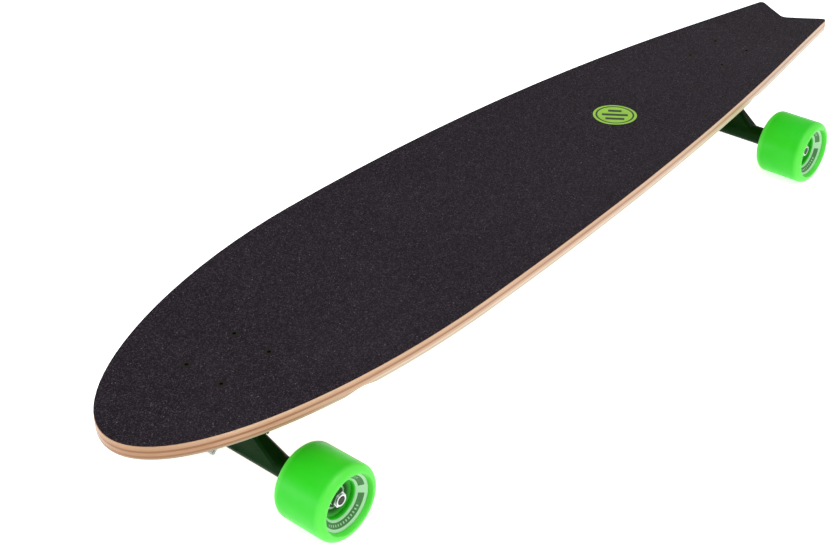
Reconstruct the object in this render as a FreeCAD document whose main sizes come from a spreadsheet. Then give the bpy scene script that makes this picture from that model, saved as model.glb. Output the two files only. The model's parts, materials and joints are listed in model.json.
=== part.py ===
import FreeCAD, Part
import math
import os
from types import SimpleNamespace

import Sketcher
from FreeCAD import Placement, Rotation, Vector

# A 42 inch fishtail longboard on two reverse kingpin trucks, in millimetres.
# +X points to the nose, +Y to the rider's left, +Z up. The origin is on the ground under the middle of
# the board, where the four wheels stand.

# name, size, meaning
SIZES = [
    ("deck_length", 1067, "nose to tail tips"),
    ("deck_width", 241.3, "across the widest point"),
    ("widest_ahead", 215, "widest point ahead of the middle"),
    ("flank_radius", 3550, "outline curve behind the widest point"),
    ("tail_width", 90, "between the two tail tips"),
    ("notch_depth", 23.3, "depth of the fishtail cut"),
    ("notch_radius", 9, "rounding at the bottom of the fishtail cut"),
    ("tip_radius", 4, "rounding of the tail tips in plan"),
    ("deck_thickness", 11.2, "nine maple plies"),
    ("camber", 5.8, "rise of the deck's middle above the trucks"),
    ("concave", 7.4, "rise of the deck's edges at its widest point"),
    ("top_edge", 0.9, "rounding of the deck's upper edge"),
    ("low_edge", 3, "rounding of the deck's lower edge"),
    ("grip_thickness", 0.8, "grip tape"),
    ("grip_inset", 0.5, "grip tape's edge inside the deck's edge"),
    ("well_depth", 3.4, "depth of the wheel wells"),
    ("well_radius", 48, "cutter radius of the wheel wells"),
    ("front_well_inboard", 46, "front wells behind the front truck's centre"),
    ("rear_well_inboard", 64, "rear wells ahead of the rear truck's centre"),
    ("front_truck_at", 406.3, "front hole pattern ahead of the middle"),
    ("rear_truck_at", 359.5, "rear hole pattern behind the middle"),
    ("pitch_long", 53.975, "hole pattern along the board"),
    ("pitch_cross", 41.275, "hole pattern across the board"),
    ("bolt_radius", 2.4, "mounting bolts"),
    ("bolt_play", 0.3, "radial play of the mounting bolts"),
    ("bolt_head_radius", 4.7, "countersunk heads"),
    ("bolt_head_rim", 0.4, "straight rim of the countersunk heads"),
    ("bolt_head_slope", 41, "half angle of the countersink"),
    ("bolt_socket", 3.2, "hexagon socket across flats"),
    ("bolt_socket_depth", 1.9, "hexagon socket"),
    ("bolt_nut_flats", 9.5, "mounting nuts across flats"),
    ("bolt_nut_height", 5.2, "mounting nuts"),
    ("thread_showing", 2, "thread below each mounting nut"),
    ("riser_thickness", 3.2, "riser pads"),
    ("plate_length", 84, "baseplate and riser along the board"),
    ("plate_width", 57, "baseplate and riser across the board"),
    ("plate_thickness", 5.5, "baseplate flange"),
    ("plate_corner", 10, "corner rounding of baseplate and riser"),
    ("truck_height", 69.7, "baseplate top to axle centre"),
    ("axle_outboard", 2.4, "axle beyond the hole pattern's centre"),
    ("steer_angle", 50, "steering axis above the baseplate"),
    ("axle_reach", 24, "ring centre to axle, along the steering axis"),
    ("axle_drop", 16.2, "steering axis to axle, towards the road"),
    ("ring_radius", 19, "hanger's bushing ring"),
    ("ring_thickness", 10, "hanger's bushing ring"),
    ("seat_depth", 1, "bushing seats in the ring"),
    ("ring_hole_radius", 7.3, "hole in the ring round the kingpin"),
    ("bushing_radius", 13, "both bushings at the ring"),
    ("bushing_tip_radius", 10.6, "roadside bushing at its washer"),
    ("board_bushing_height", 15, "boardside bushing"),
    ("road_bushing_height", 16, "roadside bushing"),
    ("bushing_bore_play", 0.35, "radial play of the bushings on the kingpin"),
    ("washer_thickness", 1.5, "kingpin washers"),
    ("washer_radius", 12.6, "boardside kingpin washer"),
    ("road_washer_radius", 11.6, "roadside kingpin washer"),
    ("kingpin_radius", 4.76, "3/8 inch kingpin"),
    ("kingpin_play", 0.15, "radial play of the kingpin in the baseplate"),
    ("kingpin_flats", 14.3, "kingpin head and nut across flats"),
    ("kingpin_head_height", 6, "kingpin head"),
    ("kingpin_nut_height", 7.4, "kingpin nut"),
    ("kingpin_thread_showing", 7.6, "thread beyond the kingpin nut"),
    ("seat_wall", 10, "baseplate wall under the kingpin head"),
    ("wedge_width", 24, "baseplate wedge across the board"),
    ("tower_radius", 9.9, "pivot cup housing"),
    ("tower_length", 10.8, "pivot cup housing"),
    ("pivot_mouth", 34, "ring centre to the mouth of the pivot cup"),
    ("pivot_length", 39.8, "ring centre to the pivot's tip"),
    ("pivot_radius", 5.5, "hanger's pivot pin"),
    ("pivot_play", 0.3, "pivot pin in its cup"),
    ("cup_wall", 2.1, "pivot cup"),
    ("hanger_width", 180, "between the hanger's end faces"),
    ("tube_radius", 9.8, "hanger round the axle"),
    ("tube_end_radius", 8.2, "hanger at its end faces"),
    ("web_top_half", 27, "web's half width at the ring"),
    ("web_low_half", 64, "web's half width at the axle"),
    ("web_thickness", 9, "hanger's web at the ring"),
    ("web_bevel", 2.2, "bevel along the web's slanted edges"),
    ("spine_width", 22, "hanger's middle block"),
    ("axle_radius", 4, "8 mm axle"),
    ("axle_showing", 0.3, "axle beyond its nut"),
    ("wheel_diameter", 70, "wheels"),
    ("wheel_width", 55, "wheels"),
    ("wheel_offset", 1.75, "wheel's middle outboard of the middle of its bearings"),
    ("lip_radius", 6.5, "rounded wheel lips"),
    ("dish_rim_radius", 27.6, "outer edge of the wheel's dished face"),
    ("dish_rim_round", 1.1, "rounding of that edge"),
    ("face_radius", 26.4, "outer edge of the printed cone inside the dish"),
    ("face_dish", 4.6, "depth of the dish at that edge"),
    ("recess_radius", 17, "opening in front of the bearings"),
    ("recess_depth", 5.4, "mouth of the opening beyond the outer race"),
    ("recess_round", 1, "rounding of that mouth"),
    ("recess_step", 2.2, "bevel from the recess down to the outer race"),
    ("shoulder_radius", 9.2, "wheel bore between the bearings"),
    ("bearing_radius", 11, "608 bearing"),
    ("bearing_width", 7, "608 bearing"),
    ("outer_race_radius", 9.3, "608 outer race, inside"),
    ("inner_race_radius", 5.9, "608 inner race, outside"),
    ("shield_thickness", 0.4, "bearing shields"),
    ("shield_recess", 0.4, "bearing shields below the race faces"),
    ("shield_gap", 0.3, "bearing shields to the inner race"),
    ("spacer_length", 10, "between the two bearings of a wheel"),
    ("spacer_radius", 5.4, "bearing spacer"),
    ("race_play", 0.02, "radial play of the races and spacer on the axle"),
    ("speed_washer_radius", 6.8, "washers beside the bearings"),
    ("speed_washer_thickness", 1, "washers beside the bearings"),
    ("axle_nut_flats", 12.7, "axle nuts across flats"),
    ("axle_nut_height", 6.4, "axle nuts"),
    ("nut_collar", 1.6, "rounded collar of a lock nut"),
]


class Size:
    """A length, ratio or angle that also carries its formula in terms of the sheet's cells."""

    def __init__(self, value, text):
        self.value = value
        self.text = text

    def __add__(self, other):
        other = as_size(other)
        return Size(self.value + other.value, f"({self.text} + {other.text})")

    def __sub__(self, other):
        other = as_size(other)
        return Size(self.value - other.value, f"({self.text} - {other.text})")

    def __mul__(self, other):
        other = as_size(other)
        return Size(self.value * other.value, f"({self.text} * {other.text})")

    def __truediv__(self, other):
        other = as_size(other)
        return Size(self.value / other.value, f"({self.text} / {other.text})")

    def __rsub__(self, other):
        return as_size(other) - self

    def __neg__(self):
        return as_size(0) - self

    __radd__ = __add__
    __rmul__ = __mul__


def as_size(number):
    return number if isinstance(number, Size) else Size(float(number), f"({float(number)})")


def cosine(angle):
    return Size(math.cos(math.radians(angle.value)), f"cos({angle.text})")


def sine(angle):
    return Size(math.sin(math.radians(angle.value)), f"sin({angle.text})")


def tangent(angle):
    return Size(math.tan(math.radians(angle.value)), f"tan({angle.text})")


def arctangent(ratio):
    return Size(math.degrees(math.atan(ratio.value)), f"atan({ratio.text})")


def root(square):
    return Size(math.sqrt(square.value), f"sqrt({square.text})")


doc = FreeCAD.newDocument("longboard")
sheet = doc.addObject("Spreadsheet::Sheet", "sizes")
for row, (name, size, meaning) in enumerate(SIZES, start=1):
    sheet.set(f"A{row}", name)
    sheet.set(f"B{row}", str(size))
    sheet.set(f"C{row}", meaning)
    sheet.setAlias(f"B{row}", name)
doc.recompute()
s = SimpleNamespace(**{name: Size(float(size), f"sizes.{name}") for name, size, meaning in SIZES})

nodes = []

# How far the cuts and the sheets that they trim reach past each other.
SPARE = as_size(15)


# ---------------------------------------------------------------- sketches and features


def new_body(label, place=None):
    """An empty body whose label names its file."""
    body = doc.addObject("PartDesign::Body", label)
    body.Label = label
    body.AllowCompound = True
    if place is not None:
        body.Placement = place
    nodes.append(body)
    return body


def origin_feature(body, role):
    return next(part for part in body.Origin.OriginFeatures if part.Role == role)


def bind(thing, prop, size):
    """Sets one property of a feature from a Size, live to the sheet."""
    thing.setExpression(prop, as_size(size).text)


def sketch(body, name, plane, base=(0, 0, 0), turn=None):
    """A sketch on an origin plane, moved by base in the plane's own axes and tipped about its second axis."""
    made = body.newObject("Sketcher::SketchObject", name)
    made.AttachmentSupport = [(origin_feature(body, plane), "")]
    made.MapMode = "FlatFace"
    angle = as_size(turn) if turn is not None else as_size(0)
    spot = [as_size(value) for value in base]
    made.AttachmentOffset = Placement(
        Vector(*[value.value for value in spot]), Rotation(Vector(0, 1, 0), angle.value or 1.0)
    )
    bind(made, "AttachmentOffset.Rotation.Angle", angle)
    for axis, value in zip("xyz", spot):
        bind(made, f"AttachmentOffset.Base.{axis}", value)
    return made


def fix(drawing, kind, curve, point, size):
    """Holds one coordinate of a sketch point, kind DistanceX or DistanceY, at a Size from the origin."""
    size = as_size(size)
    at = drawing.addConstraint(Sketcher.Constraint(kind, -1, 1, curve, point, size.value))
    drawing.setExpression(f"Constraints[{at}]", size.text)


def fix_point(drawing, curve, point, x, y):
    fix(drawing, "DistanceX", curve, point, x)
    fix(drawing, "DistanceY", curve, point, y)


def set_radius(drawing, curve, size):
    size = as_size(size)
    at = drawing.addConstraint(Sketcher.Constraint("Radius", curve, size.value))
    drawing.setExpression(f"Constraints[{at}]", size.text)


def join(drawing, first, first_end, second, second_end):
    drawing.addConstraint(Sketcher.Constraint("Coincident", first, first_end, second, second_end))


def polygon(drawing, corners):
    """A closed outline of straight sides through corners given as pairs of Sizes."""
    corners = [(as_size(x), as_size(y)) for x, y in corners]
    spots = [Vector(x.value, y.value, 0) for x, y in corners]
    count = len(spots)
    sides = [
        drawing.addGeometry(Part.LineSegment(spots[i], spots[(i + 1) % count]), False)
        for i in range(count)
    ]
    for i, (x, y) in enumerate(corners):
        join(drawing, sides[i - 1], 2, sides[i], 1)
        fix_point(drawing, sides[i], 1, x, y)


def rectangle(drawing, low_x, high_x, low_y, high_y):
    polygon(drawing, [(low_x, low_y), (high_x, low_y), (high_x, high_y), (low_x, high_y)])


def circle(drawing, x, y, radius):
    x, y, radius = as_size(x), as_size(y), as_size(radius)
    ring = Part.Circle(Vector(x.value, y.value, 0), Vector(0, 0, 1), radius.value)
    curve = drawing.addGeometry(ring, False)
    fix_point(drawing, curve, 3, x, y)
    set_radius(drawing, curve, radius)


def hexagon(drawing, flats):
    """A regular hexagon about the sketch's origin."""
    corner = flats / math.sqrt(3)
    turns = [math.radians(60 * i) for i in range(6)]
    polygon(drawing, [(corner * math.cos(turn), corner * math.sin(turn)) for turn in turns])


def extrude(body, kind, drawing, length, symmetric=False, backwards=False):
    """A Pad or a Pocket."""
    made = body.newObject(f"PartDesign::{kind}", f"{drawing.Name}_{kind.lower()}")
    made.Profile = drawing
    made.Type = "Length"
    made.SideType = "Symmetric" if symmetric else "One side"
    made.Reversed = backwards
    bind(made, "Length", length)
    drawing.Visibility = False
    return made


def spin(body, kind, drawing, axis="V_Axis"):
    """A Revolution or a Groove, a full turn about one of the sketch's own axes."""
    made = body.newObject(f"PartDesign::{kind}", f"{drawing.Name}_{kind.lower()}")
    made.Profile = drawing
    made.ReferenceAxis = (drawing, [axis])
    made.Angle = 360
    return made


def grid(body, features):
    """Repeats features of the first corner at the four holes of the mounting pattern."""
    made = body.newObject("PartDesign::LinearPattern", f"{features[0].Name}_grid")
    made.Originals = features
    made.Direction = (origin_feature(body, "X_Axis"), [""])
    made.Direction2 = (origin_feature(body, "Y_Axis"), [""])
    made.Occurrences = 2
    made.Occurrences2 = 2
    bind(made, "Length", s.pitch_long)
    bind(made, "Length2", s.pitch_cross)
    body.Tip = made
    return made


def soften(body, kind, size, wanted):
    """A Fillet or a Chamfer on the edges of the body's tip that the wanted test picks."""
    doc.recompute()
    base = body.Tip
    names = [f"Edge{i}" for i, edge in enumerate(base.Shape.Edges, start=1) if wanted(edge)]
    if not names:
        raise RuntimeError(f"no edges for a {kind} on {body.Label}")
    made = body.newObject(f"PartDesign::{kind}", f"{base.Name}_{kind.lower()}")
    made.Base = (base, names)
    bind(made, "Radius" if kind == "Fillet" else "Size", size)
    return made


def round_edge_at(radius, height):
    """Tests for a full circle of that radius about the local Z axis at that height."""

    def wanted(edge):
        curve = edge.Curve
        if not isinstance(curve, Part.Circle) or abs(curve.Radius - radius.value) > 0.001:
            return False
        return abs(curve.Center.z - as_size(height).value) < 0.001

    return wanted


def any_of(*tests):
    return lambda edge: any(test(edge) for test in tests)


def turned(label, place, profile):
    """A body made by turning one closed profile of (radius, height) pairs about its Z axis."""
    body = new_body(label, place)
    drawing = sketch(body, f"{label}_profile", "XZ_Plane")
    polygon(drawing, profile)
    spin(body, "Revolution", drawing)
    return body


def ring(label, place, bore, radius, low, high):
    return turned(label, place, [(bore, low), (radius, low), (radius, high), (bore, high)])


# ---------------------------------------------------------------- where things are


def layout():
    """Places worked out from the sizes, all as Sizes so that they stay live."""
    w = SimpleNamespace()
    w.wheel_radius = s.wheel_diameter / 2
    w.middle = (s.front_truck_at - s.rear_truck_at) / 2
    w.half_base = (s.front_truck_at + s.rear_truck_at) / 2

    # Along its centre line the deck's underside is an arc, and each truck stands square to it.
    w.low_radius = (w.half_base * w.half_base + s.camber * s.camber) / (2 * s.camber)
    w.tilt_sine = w.half_base / w.low_radius
    w.tilt_cosine = root(1 - w.tilt_sine * w.tilt_sine)
    w.tilt = arctangent(w.tilt_sine / w.tilt_cosine)
    w.crown = s.plate_length * s.plate_length / (8 * w.low_radius)
    w.stand_off = s.riser_thickness + w.crown
    w.underside = (
        w.wheel_radius
        + s.axle_outboard * w.tilt_sine
        + (s.truck_height + w.stand_off) * w.tilt_cosine
    )
    w.curve_centre = w.underside - w.low_radius * w.tilt_cosine
    w.high_radius = w.low_radius + s.deck_thickness

    # Across the board every layer is the same parabola, which rises by dish times its half width squared.
    w.dish = s.concave * 4 / (s.deck_width * s.deck_width)
    w.bolt_rise = w.dish * s.pitch_cross * s.pitch_cross / 4

    # In a truck's own frame X points away from the board's middle and Z = 0 is the baseplate's top.
    w.steer_cosine = cosine(s.steer_angle)
    w.steer_sine = sine(s.steer_angle)
    w.ring_x = s.axle_outboard + s.axle_reach * w.steer_cosine - s.axle_drop * w.steer_sine
    w.ring_z = s.axle_reach * w.steer_sine + s.axle_drop * w.steer_cosine - s.truck_height

    # Along the kingpin from the middle of the ring: towards the board is negative.
    w.seat = s.ring_thickness / 2 - s.seat_depth
    w.board_washer = w.seat + s.board_bushing_height
    w.base_face = w.board_washer + s.washer_thickness
    w.head_seat = w.base_face + s.seat_wall
    w.road_washer = w.seat + s.road_bushing_height
    w.nut_face = w.road_washer + s.washer_thickness
    w.nut_end = w.nut_face + s.kingpin_nut_height
    w.kingpin_end = w.nut_end + s.kingpin_thread_showing

    # Along the axle from the board's centre line.
    w.hanger_end = s.hanger_width / 2
    w.inner_bearing = w.hanger_end + s.speed_washer_thickness
    w.core_middle = w.inner_bearing + s.bearing_width + s.spacer_length / 2
    w.wheel_middle = w.core_middle + s.wheel_offset
    w.outer_bearing = w.core_middle + s.spacer_length / 2
    w.stack_end = w.outer_bearing + s.bearing_width
    w.axle_nut = w.stack_end + s.speed_washer_thickness
    w.axle_end = w.axle_nut + s.axle_nut_height + s.axle_showing
    return w


w = layout()


def along(reach, drop):
    """A point of the truck's middle plane: reach up the steering axis from the ring, drop roadwards."""
    return (
        w.ring_x + as_size(reach) * w.steer_cosine + as_size(drop) * w.steer_sine,
        w.ring_z + as_size(reach) * w.steer_sine - as_size(drop) * w.steer_cosine,
    )


def truck_frame(front):
    """Placement of a truck's own frame: square to the deck's underside, outboard along its X."""
    tip = w.tilt.value
    if front:
        turn = Rotation(Vector(0, 1, 0), tip)
        reach = s.front_truck_at.value
    else:
        turn = Rotation(Vector(0, 0, 1), 180).multiply(Rotation(Vector(0, 1, 0), tip))
        reach = -s.rear_truck_at.value
    under_deck = Vector(reach, 0, w.underside.value)
    return Placement(under_deck - turn.multVec(Vector(0, 0, w.stand_off.value)), turn)


def ring_frame(truck):
    """The ring's frame: X up the steering axis, Z along the kingpin towards the road."""
    upward = Vector(w.steer_cosine.value, 0, w.steer_sine.value)
    roadward = Vector(w.steer_sine.value, 0, -w.steer_cosine.value)
    turn = Rotation(upward, roadward.cross(upward), roadward, "ZXY")
    return truck.multiply(Placement(Vector(w.ring_x.value, 0, w.ring_z.value), turn))


def axle_frame(truck, left):
    """A wheel's frame: origin on the board's centre plane, Z out along the axle to that side."""
    centre = truck.multVec(Vector(s.axle_outboard.value, 0, -s.truck_height.value))
    return Placement(centre, Rotation(Vector(1, 0, 0), -90 if left else 90))


# ---------------------------------------------------------------- the board


def pressed_sheet(body, low_radius, thickness):
    """A sheet curved both ways: its parabolic cross section, turned about the centre of the camber."""
    drawing = sketch(body, f"{body.Label}_section", "YZ_Plane", (0, w.curve_centre, w.middle))
    half = s.deck_width / 2 + SPARE
    rise = w.dish * half * half
    curves = []
    for height in (low_radius, low_radius + thickness):
        poles = [(-half, height + rise), (as_size(0), height - rise), (half, height + rise)]
        bent = Part.BSplineCurve()
        bent.buildFromPoles([Vector(y.value, z.value, 0) for y, z in poles], False, 2)
        curve = drawing.addGeometry(bent, False)
        drawing.exposeInternalGeometry(curve)
        for step, (y, z) in enumerate(poles):
            fix_point(drawing, curve + 1 + step, 3, y, z)
        curves.append(curve)
    for end in (1, 2):
        ends = [drawing.getPoint(curve, end) for curve in curves]
        line = drawing.addGeometry(Part.LineSegment(*ends), False)
        join(drawing, line, 1, curves[0], end)
        join(drawing, line, 2, curves[1], end)
    turn = spin(body, "Revolution", drawing, "H_Axis")
    turn.Midplane = True
    reach = s.deck_length / 2 + root(w.middle * w.middle) + SPARE
    bind(turn, "Angle", arctangent(reach / (w.low_radius - SPARE)) * 2)
    return turn


def plan_outline(drawing, inset):
    """The board from above: elliptical nose, long curved flanks, straight run-out and a fishtail."""
    half_length = s.deck_length / 2 - inset
    half_width = s.deck_width / 2 - inset
    half_tail = s.tail_width / 2 - inset
    widest = s.widest_ahead
    nose = drawing.addGeometry(
        Part.ArcOfEllipse(
            Part.Ellipse(
                Vector(half_length.value, 0, 0),
                Vector(widest.value, half_width.value, 0),
                Vector(widest.value, 0, 0),
            ),
            -math.pi / 2,
            math.pi / 2,
        ),
        False,
    )
    drawing.exposeInternalGeometry(nose)
    fix_point(drawing, nose, 3, widest, 0)
    fix_point(drawing, nose + 1, 1, half_length, 0)
    fix(drawing, "DistanceY", nose + 2, 1, half_width)
    fix(drawing, "DistanceX", nose, 1, widest)
    fix(drawing, "DistanceX", nose, 2, widest)

    flank_radius = s.flank_radius
    flank_y = half_width - flank_radius
    tip_x, tip_y = s.tip_radius - half_length, half_tail - s.tip_radius
    notch_x = s.notch_depth + inset * 2 - half_length - s.notch_radius

    # Angles of the touching points, for the side at +Y: they only start the solver off.
    away = math.hypot(widest.value - tip_x.value, tip_y.value - flank_y.value)
    run_out = math.atan2(widest.value - tip_x.value, tip_y.value - flank_y.value)
    run_out += math.pi / 2 - math.acos((flank_radius.value - s.tip_radius.value) / away)
    gap = math.hypot(notch_x.value - tip_x.value, tip_y.value)
    slant = math.atan2(-tip_y.value, notch_x.value - tip_x.value)
    slant += math.asin((s.tip_radius.value + s.notch_radius.value) / gap)
    cut_at_tip = slant - math.pi / 2 + 2 * math.pi
    cut_at_notch = slant + math.pi / 2

    last_cuts = []
    for side, nose_end in ((1, 2), (-1, 1)):
        flank, (flank_front, flank_back) = arc(
            drawing, (widest, flank_y * side), flank_radius, side * math.pi / 2, side * run_out
        )
        join(drawing, flank, flank_front, nose, nose_end)
        tip, (tip_out, tip_in) = arc(
            drawing, (tip_x, tip_y * side), s.tip_radius, side * run_out, side * cut_at_tip
        )
        set_radius(drawing, tip, s.tip_radius)
        straight(drawing, flank, flank_back, tip, tip_out)
        last_cuts.append((tip, tip_in))
    notch, ends = arc(drawing, (notch_x, as_size(0)), s.notch_radius, -cut_at_notch, cut_at_notch)
    set_radius(drawing, notch, s.notch_radius)
    straight(drawing, *last_cuts[0], notch, ends[1])
    straight(drawing, *last_cuts[1], notch, ends[0])


def arc(drawing, centre, radius, first, last):
    """A circular arc between two angles about a fixed centre, with its ends in that order."""
    x, y = centre
    whole = Part.Circle(Vector(x.value, y.value, 0), Vector(0, 0, 1), radius.value)
    curve = drawing.addGeometry(Part.ArcOfCircle(whole, *sorted((first, last))), False)
    fix_point(drawing, curve, 3, x, y)
    return curve, ((1, 2) if first < last else (2, 1))


def straight(drawing, first, first_end, second, second_end):
    """A straight side that leaves one arc and meets the next without a corner."""
    ends = [drawing.getPoint(first, first_end), drawing.getPoint(second, second_end)]
    side = drawing.addGeometry(Part.LineSegment(*ends), False)
    drawing.addConstraint(Sketcher.Constraint("Tangent", side, 1, first, first_end))
    drawing.addConstraint(Sketcher.Constraint("Tangent", side, 2, second, second_end))


def board_layer(label, low_radius, thickness, inset):
    """A pressed sheet with all that lies outside the plan outline cut away."""
    body = new_body(label)
    pressed_sheet(body, low_radius, thickness)
    plan = sketch(body, f"{label}_plan", "XY_Plane")
    plan_outline(plan, as_size(inset))
    rectangle(plan, -s.deck_length, s.deck_length, -s.deck_width, s.deck_width)
    extrude(body, "Pocket", plan, w.underside * 4, symmetric=True)
    return body


def outline_on(height):
    """Tests for an edge of the plan outline on the curved layer of that height above the camber's centre."""

    def off(point):
        reach = math.hypot(point.x - w.middle.value, point.z - w.curve_centre.value)
        return reach - height.value - w.dish.value * point.y * point.y

    def round_a_hole(edge):
        span = edge.BoundBox
        beside = abs(abs(span.Center.y) - s.pitch_cross.value / 2)
        return max(span.XLength, beside) < s.bolt_head_radius.value * 2.2

    def wanted(edge):
        if round_a_hole(edge):
            return False
        first, last = edge.ParameterRange
        spots = [edge.valueAt((first + last) / 2)] + [vertex.Point for vertex in edge.Vertexes]
        return all(abs(off(spot)) < 0.01 for spot in spots)

    return wanted


def drill_pattern(body, truck, name, radius, height, depth):
    """Four round holes square to a truck, as one pocket from a sketch tipped with that truck."""
    drawing = body.newObject("Sketcher::SketchObject", f"{body.Label}_{name}")
    drawing.AttachmentSupport = [(origin_feature(body, "XY_Plane"), "")]
    drawing.MapMode = "FlatFace"
    drawing.AttachmentOffset = truck.multiply(Placement(Vector(0, 0, height.value), Rotation()))
    for x in (-1, 1):
        for y in (-1, 1):
            circle(drawing, s.pitch_long / 2 * x, s.pitch_cross / 2 * y, radius)
    return extrude(body, "Pocket", drawing, depth, symmetric=True)


def countersunk_holes(body, truck, name):
    """Four holes square to a truck, each turned in one cut with the conical seat of its bolt's head."""
    rim = w.stand_off + s.deck_thickness + w.bolt_rise + s.grip_thickness - s.bolt_head_rim
    hole = s.bolt_radius + s.bolt_play
    cone = (s.bolt_head_radius - hole) / tangent(s.bolt_head_slope)
    for x in (-1, 1):
        for y in (-1, 1):
            drawing = body.newObject("Sketcher::SketchObject", f"{body.Label}_{name}")
            drawing.AttachmentSupport = [(origin_feature(body, "XY_Plane"), "")]
            drawing.MapMode = "FlatFace"
            spot = Vector(s.pitch_long.value / 2 * x, s.pitch_cross.value / 2 * y, 0)
            upright = Placement(spot, Rotation(Vector(1, 0, 0), 90))
            drawing.AttachmentOffset = truck.multiply(upright)
            polygon(
                drawing,
                [
                    (0, w.stand_off - SPARE),
                    (hole, w.stand_off - SPARE),
                    (hole, rim - cone),
                    (s.bolt_head_radius, rim),
                    (s.bolt_head_radius, rim + SPARE),
                    (0, rim + SPARE),
                ],
            )
            spin(body, "Groove", drawing)


def wheel_wells(body):
    """Shallow scoops under the deck's edges where a wheel comes nearest in a hard turn."""
    inner = w.wheel_middle - s.wheel_width / 2 - 3
    outer = w.wheel_middle + s.wheel_width / 2
    slope = s.well_depth * 2
    bottom = inner + slope
    for name, at in (
        ("front_wells", s.front_truck_at - s.front_well_inboard),
        ("rear_wells", s.rear_well_inboard - s.rear_truck_at),
    ):
        away = at - w.middle
        underside = w.curve_centre + root(w.low_radius * w.low_radius - away * away)
        # The scoop's floor rises outwards with the deck's concave.
        rises = [w.dish * y * y for y in (bottom, outer)]
        axis = underside + rises[1] + s.well_depth - s.well_radius
        drawing = sketch(body, name, "XY_Plane", (at, 0, axis))
        for side in (-1, 1):
            polygon(
                drawing,
                [
                    (0, inner * side),
                    (s.well_radius - rises[1] + rises[0] - slope, inner * side),
                    (s.well_radius - rises[1] + rises[0], bottom * side),
                    (s.well_radius, outer * side),
                    (0, outer * side),
                ],
            )
        spin(body, "Groove", drawing)


def board():
    trucks = [truck_frame(True), truck_frame(False)]
    names = ["front", "rear"]

    deck = board_layer("deck", w.low_radius, s.deck_thickness, 0)
    for truck, name in zip(trucks, names):
        countersunk_holes(deck, truck, f"{name}_holes")
    soften(deck, "Fillet", s.low_edge, outline_on(w.low_radius))
    soften(deck, "Fillet", s.top_edge, outline_on(w.high_radius))
    wheel_wells(deck)

    grip = board_layer("grip_tape", w.high_radius, s.grip_thickness, s.grip_inset)
    for truck, name in zip(trucks, names):
        middle = w.stand_off + s.deck_thickness
        drill_pattern(grip, truck, f"{name}_holes", s.bolt_head_radius, middle, s.grip_thickness * 4)


# ---------------------------------------------------------------- fasteners


def lock_nut(label, place, flats, height, bore, base, spot=(0, 0)):
    """A hexagon nut with a rounded collar, standing on height base of its frame."""
    body = new_body(label, place)
    x, y = spot
    hexagon_part = sketch(body, f"{label}_flats", "XY_Plane", (x, y, base))
    hexagon(hexagon_part, flats)
    circle(hexagon_part, 0, 0, bore)
    body_height = height - s.nut_collar
    first = extrude(body, "Pad", hexagon_part, body_height)
    collar = sketch(body, f"{label}_collar", "XY_Plane", (x, y, base + body_height))
    circle(collar, 0, 0, flats * 0.44)
    circle(collar, 0, 0, bore)
    second = extrude(body, "Pad", collar, s.nut_collar)
    return body, [first, second]


def mounting_bolts(prefix, truck):
    """Four countersunk bolts, one turned and patterned to the hole pattern."""
    body = new_body(f"{prefix}_mounting_bolts", truck)
    top = w.stand_off + s.deck_thickness + w.bolt_rise + s.grip_thickness
    cone = (s.bolt_head_radius - s.bolt_radius) / tangent(s.bolt_head_slope)
    end = -s.plate_thickness - s.bolt_nut_height - s.thread_showing
    corner_x, corner_y = -s.pitch_long / 2, -s.pitch_cross / 2
    profile = sketch(body, f"{prefix}_bolt_profile", "XZ_Plane", (corner_x, 0, -corner_y))
    polygon(
        profile,
        [
            (0, top),
            (s.bolt_head_radius, top),
            (s.bolt_head_radius, top - s.bolt_head_rim),
            (s.bolt_radius, top - s.bolt_head_rim - cone),
            (s.bolt_radius, end + 0.6),
            (s.bolt_radius - 0.6, end),
            (0, end),
        ],
    )
    shank = spin(body, "Revolution", profile)
    socket = sketch(body, f"{prefix}_bolt_socket", "XY_Plane", (corner_x, corner_y, top))
    hexagon(socket, s.bolt_socket)
    hole = extrude(body, "Pocket", socket, s.bolt_socket_depth)
    grid(body, [shank, hole])


def mounting_nuts(prefix, truck):
    base = -s.plate_thickness - s.bolt_nut_height
    corner = (-s.pitch_long / 2, -s.pitch_cross / 2)
    body, features = lock_nut(
        f"{prefix}_mounting_nuts",
        truck,
        s.bolt_nut_flats,
        s.bolt_nut_height,
        s.bolt_radius,
        base,
        corner,
    )
    grid(body, features)


# ---------------------------------------------------------------- a truck


def flange(body, name, low, thickness):
    """A rounded rectangular plate with the four mounting holes."""
    plan = sketch(body, f"{name}_plan", "XY_Plane", (0, 0, low))
    half_x, half_y = s.plate_length / 2, s.plate_width / 2
    rectangle(plan, -half_x, half_x, -half_y, half_y)
    extrude(body, "Pad", plan, thickness)
    corner = (half_x.value, half_y.value)

    def upright_corner(edge):
        span = edge.BoundBox
        return (
            max(span.XLength, span.YLength) < 0.01
            and abs(abs(span.XMin) - corner[0]) < 0.01
            and abs(abs(span.YMin) - corner[1]) < 0.01
        )

    soften(body, "Fillet", s.plate_corner, upright_corner)


def flange_holes(body, name, top, depth):
    holes = sketch(body, f"{name}_hole", "XY_Plane", (-s.pitch_long / 2, -s.pitch_cross / 2, top))
    circle(holes, 0, 0, s.bolt_radius + s.bolt_play)
    grid(body, [extrude(body, "Pocket", holes, depth)])


def riser_pad(prefix, truck):
    body = new_body(f"{prefix}_riser_pad", truck)
    flange(body, body.Label, 0, s.riser_thickness)
    flange_holes(body, body.Label, s.riser_thickness + 1, s.riser_thickness + 2)


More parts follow.
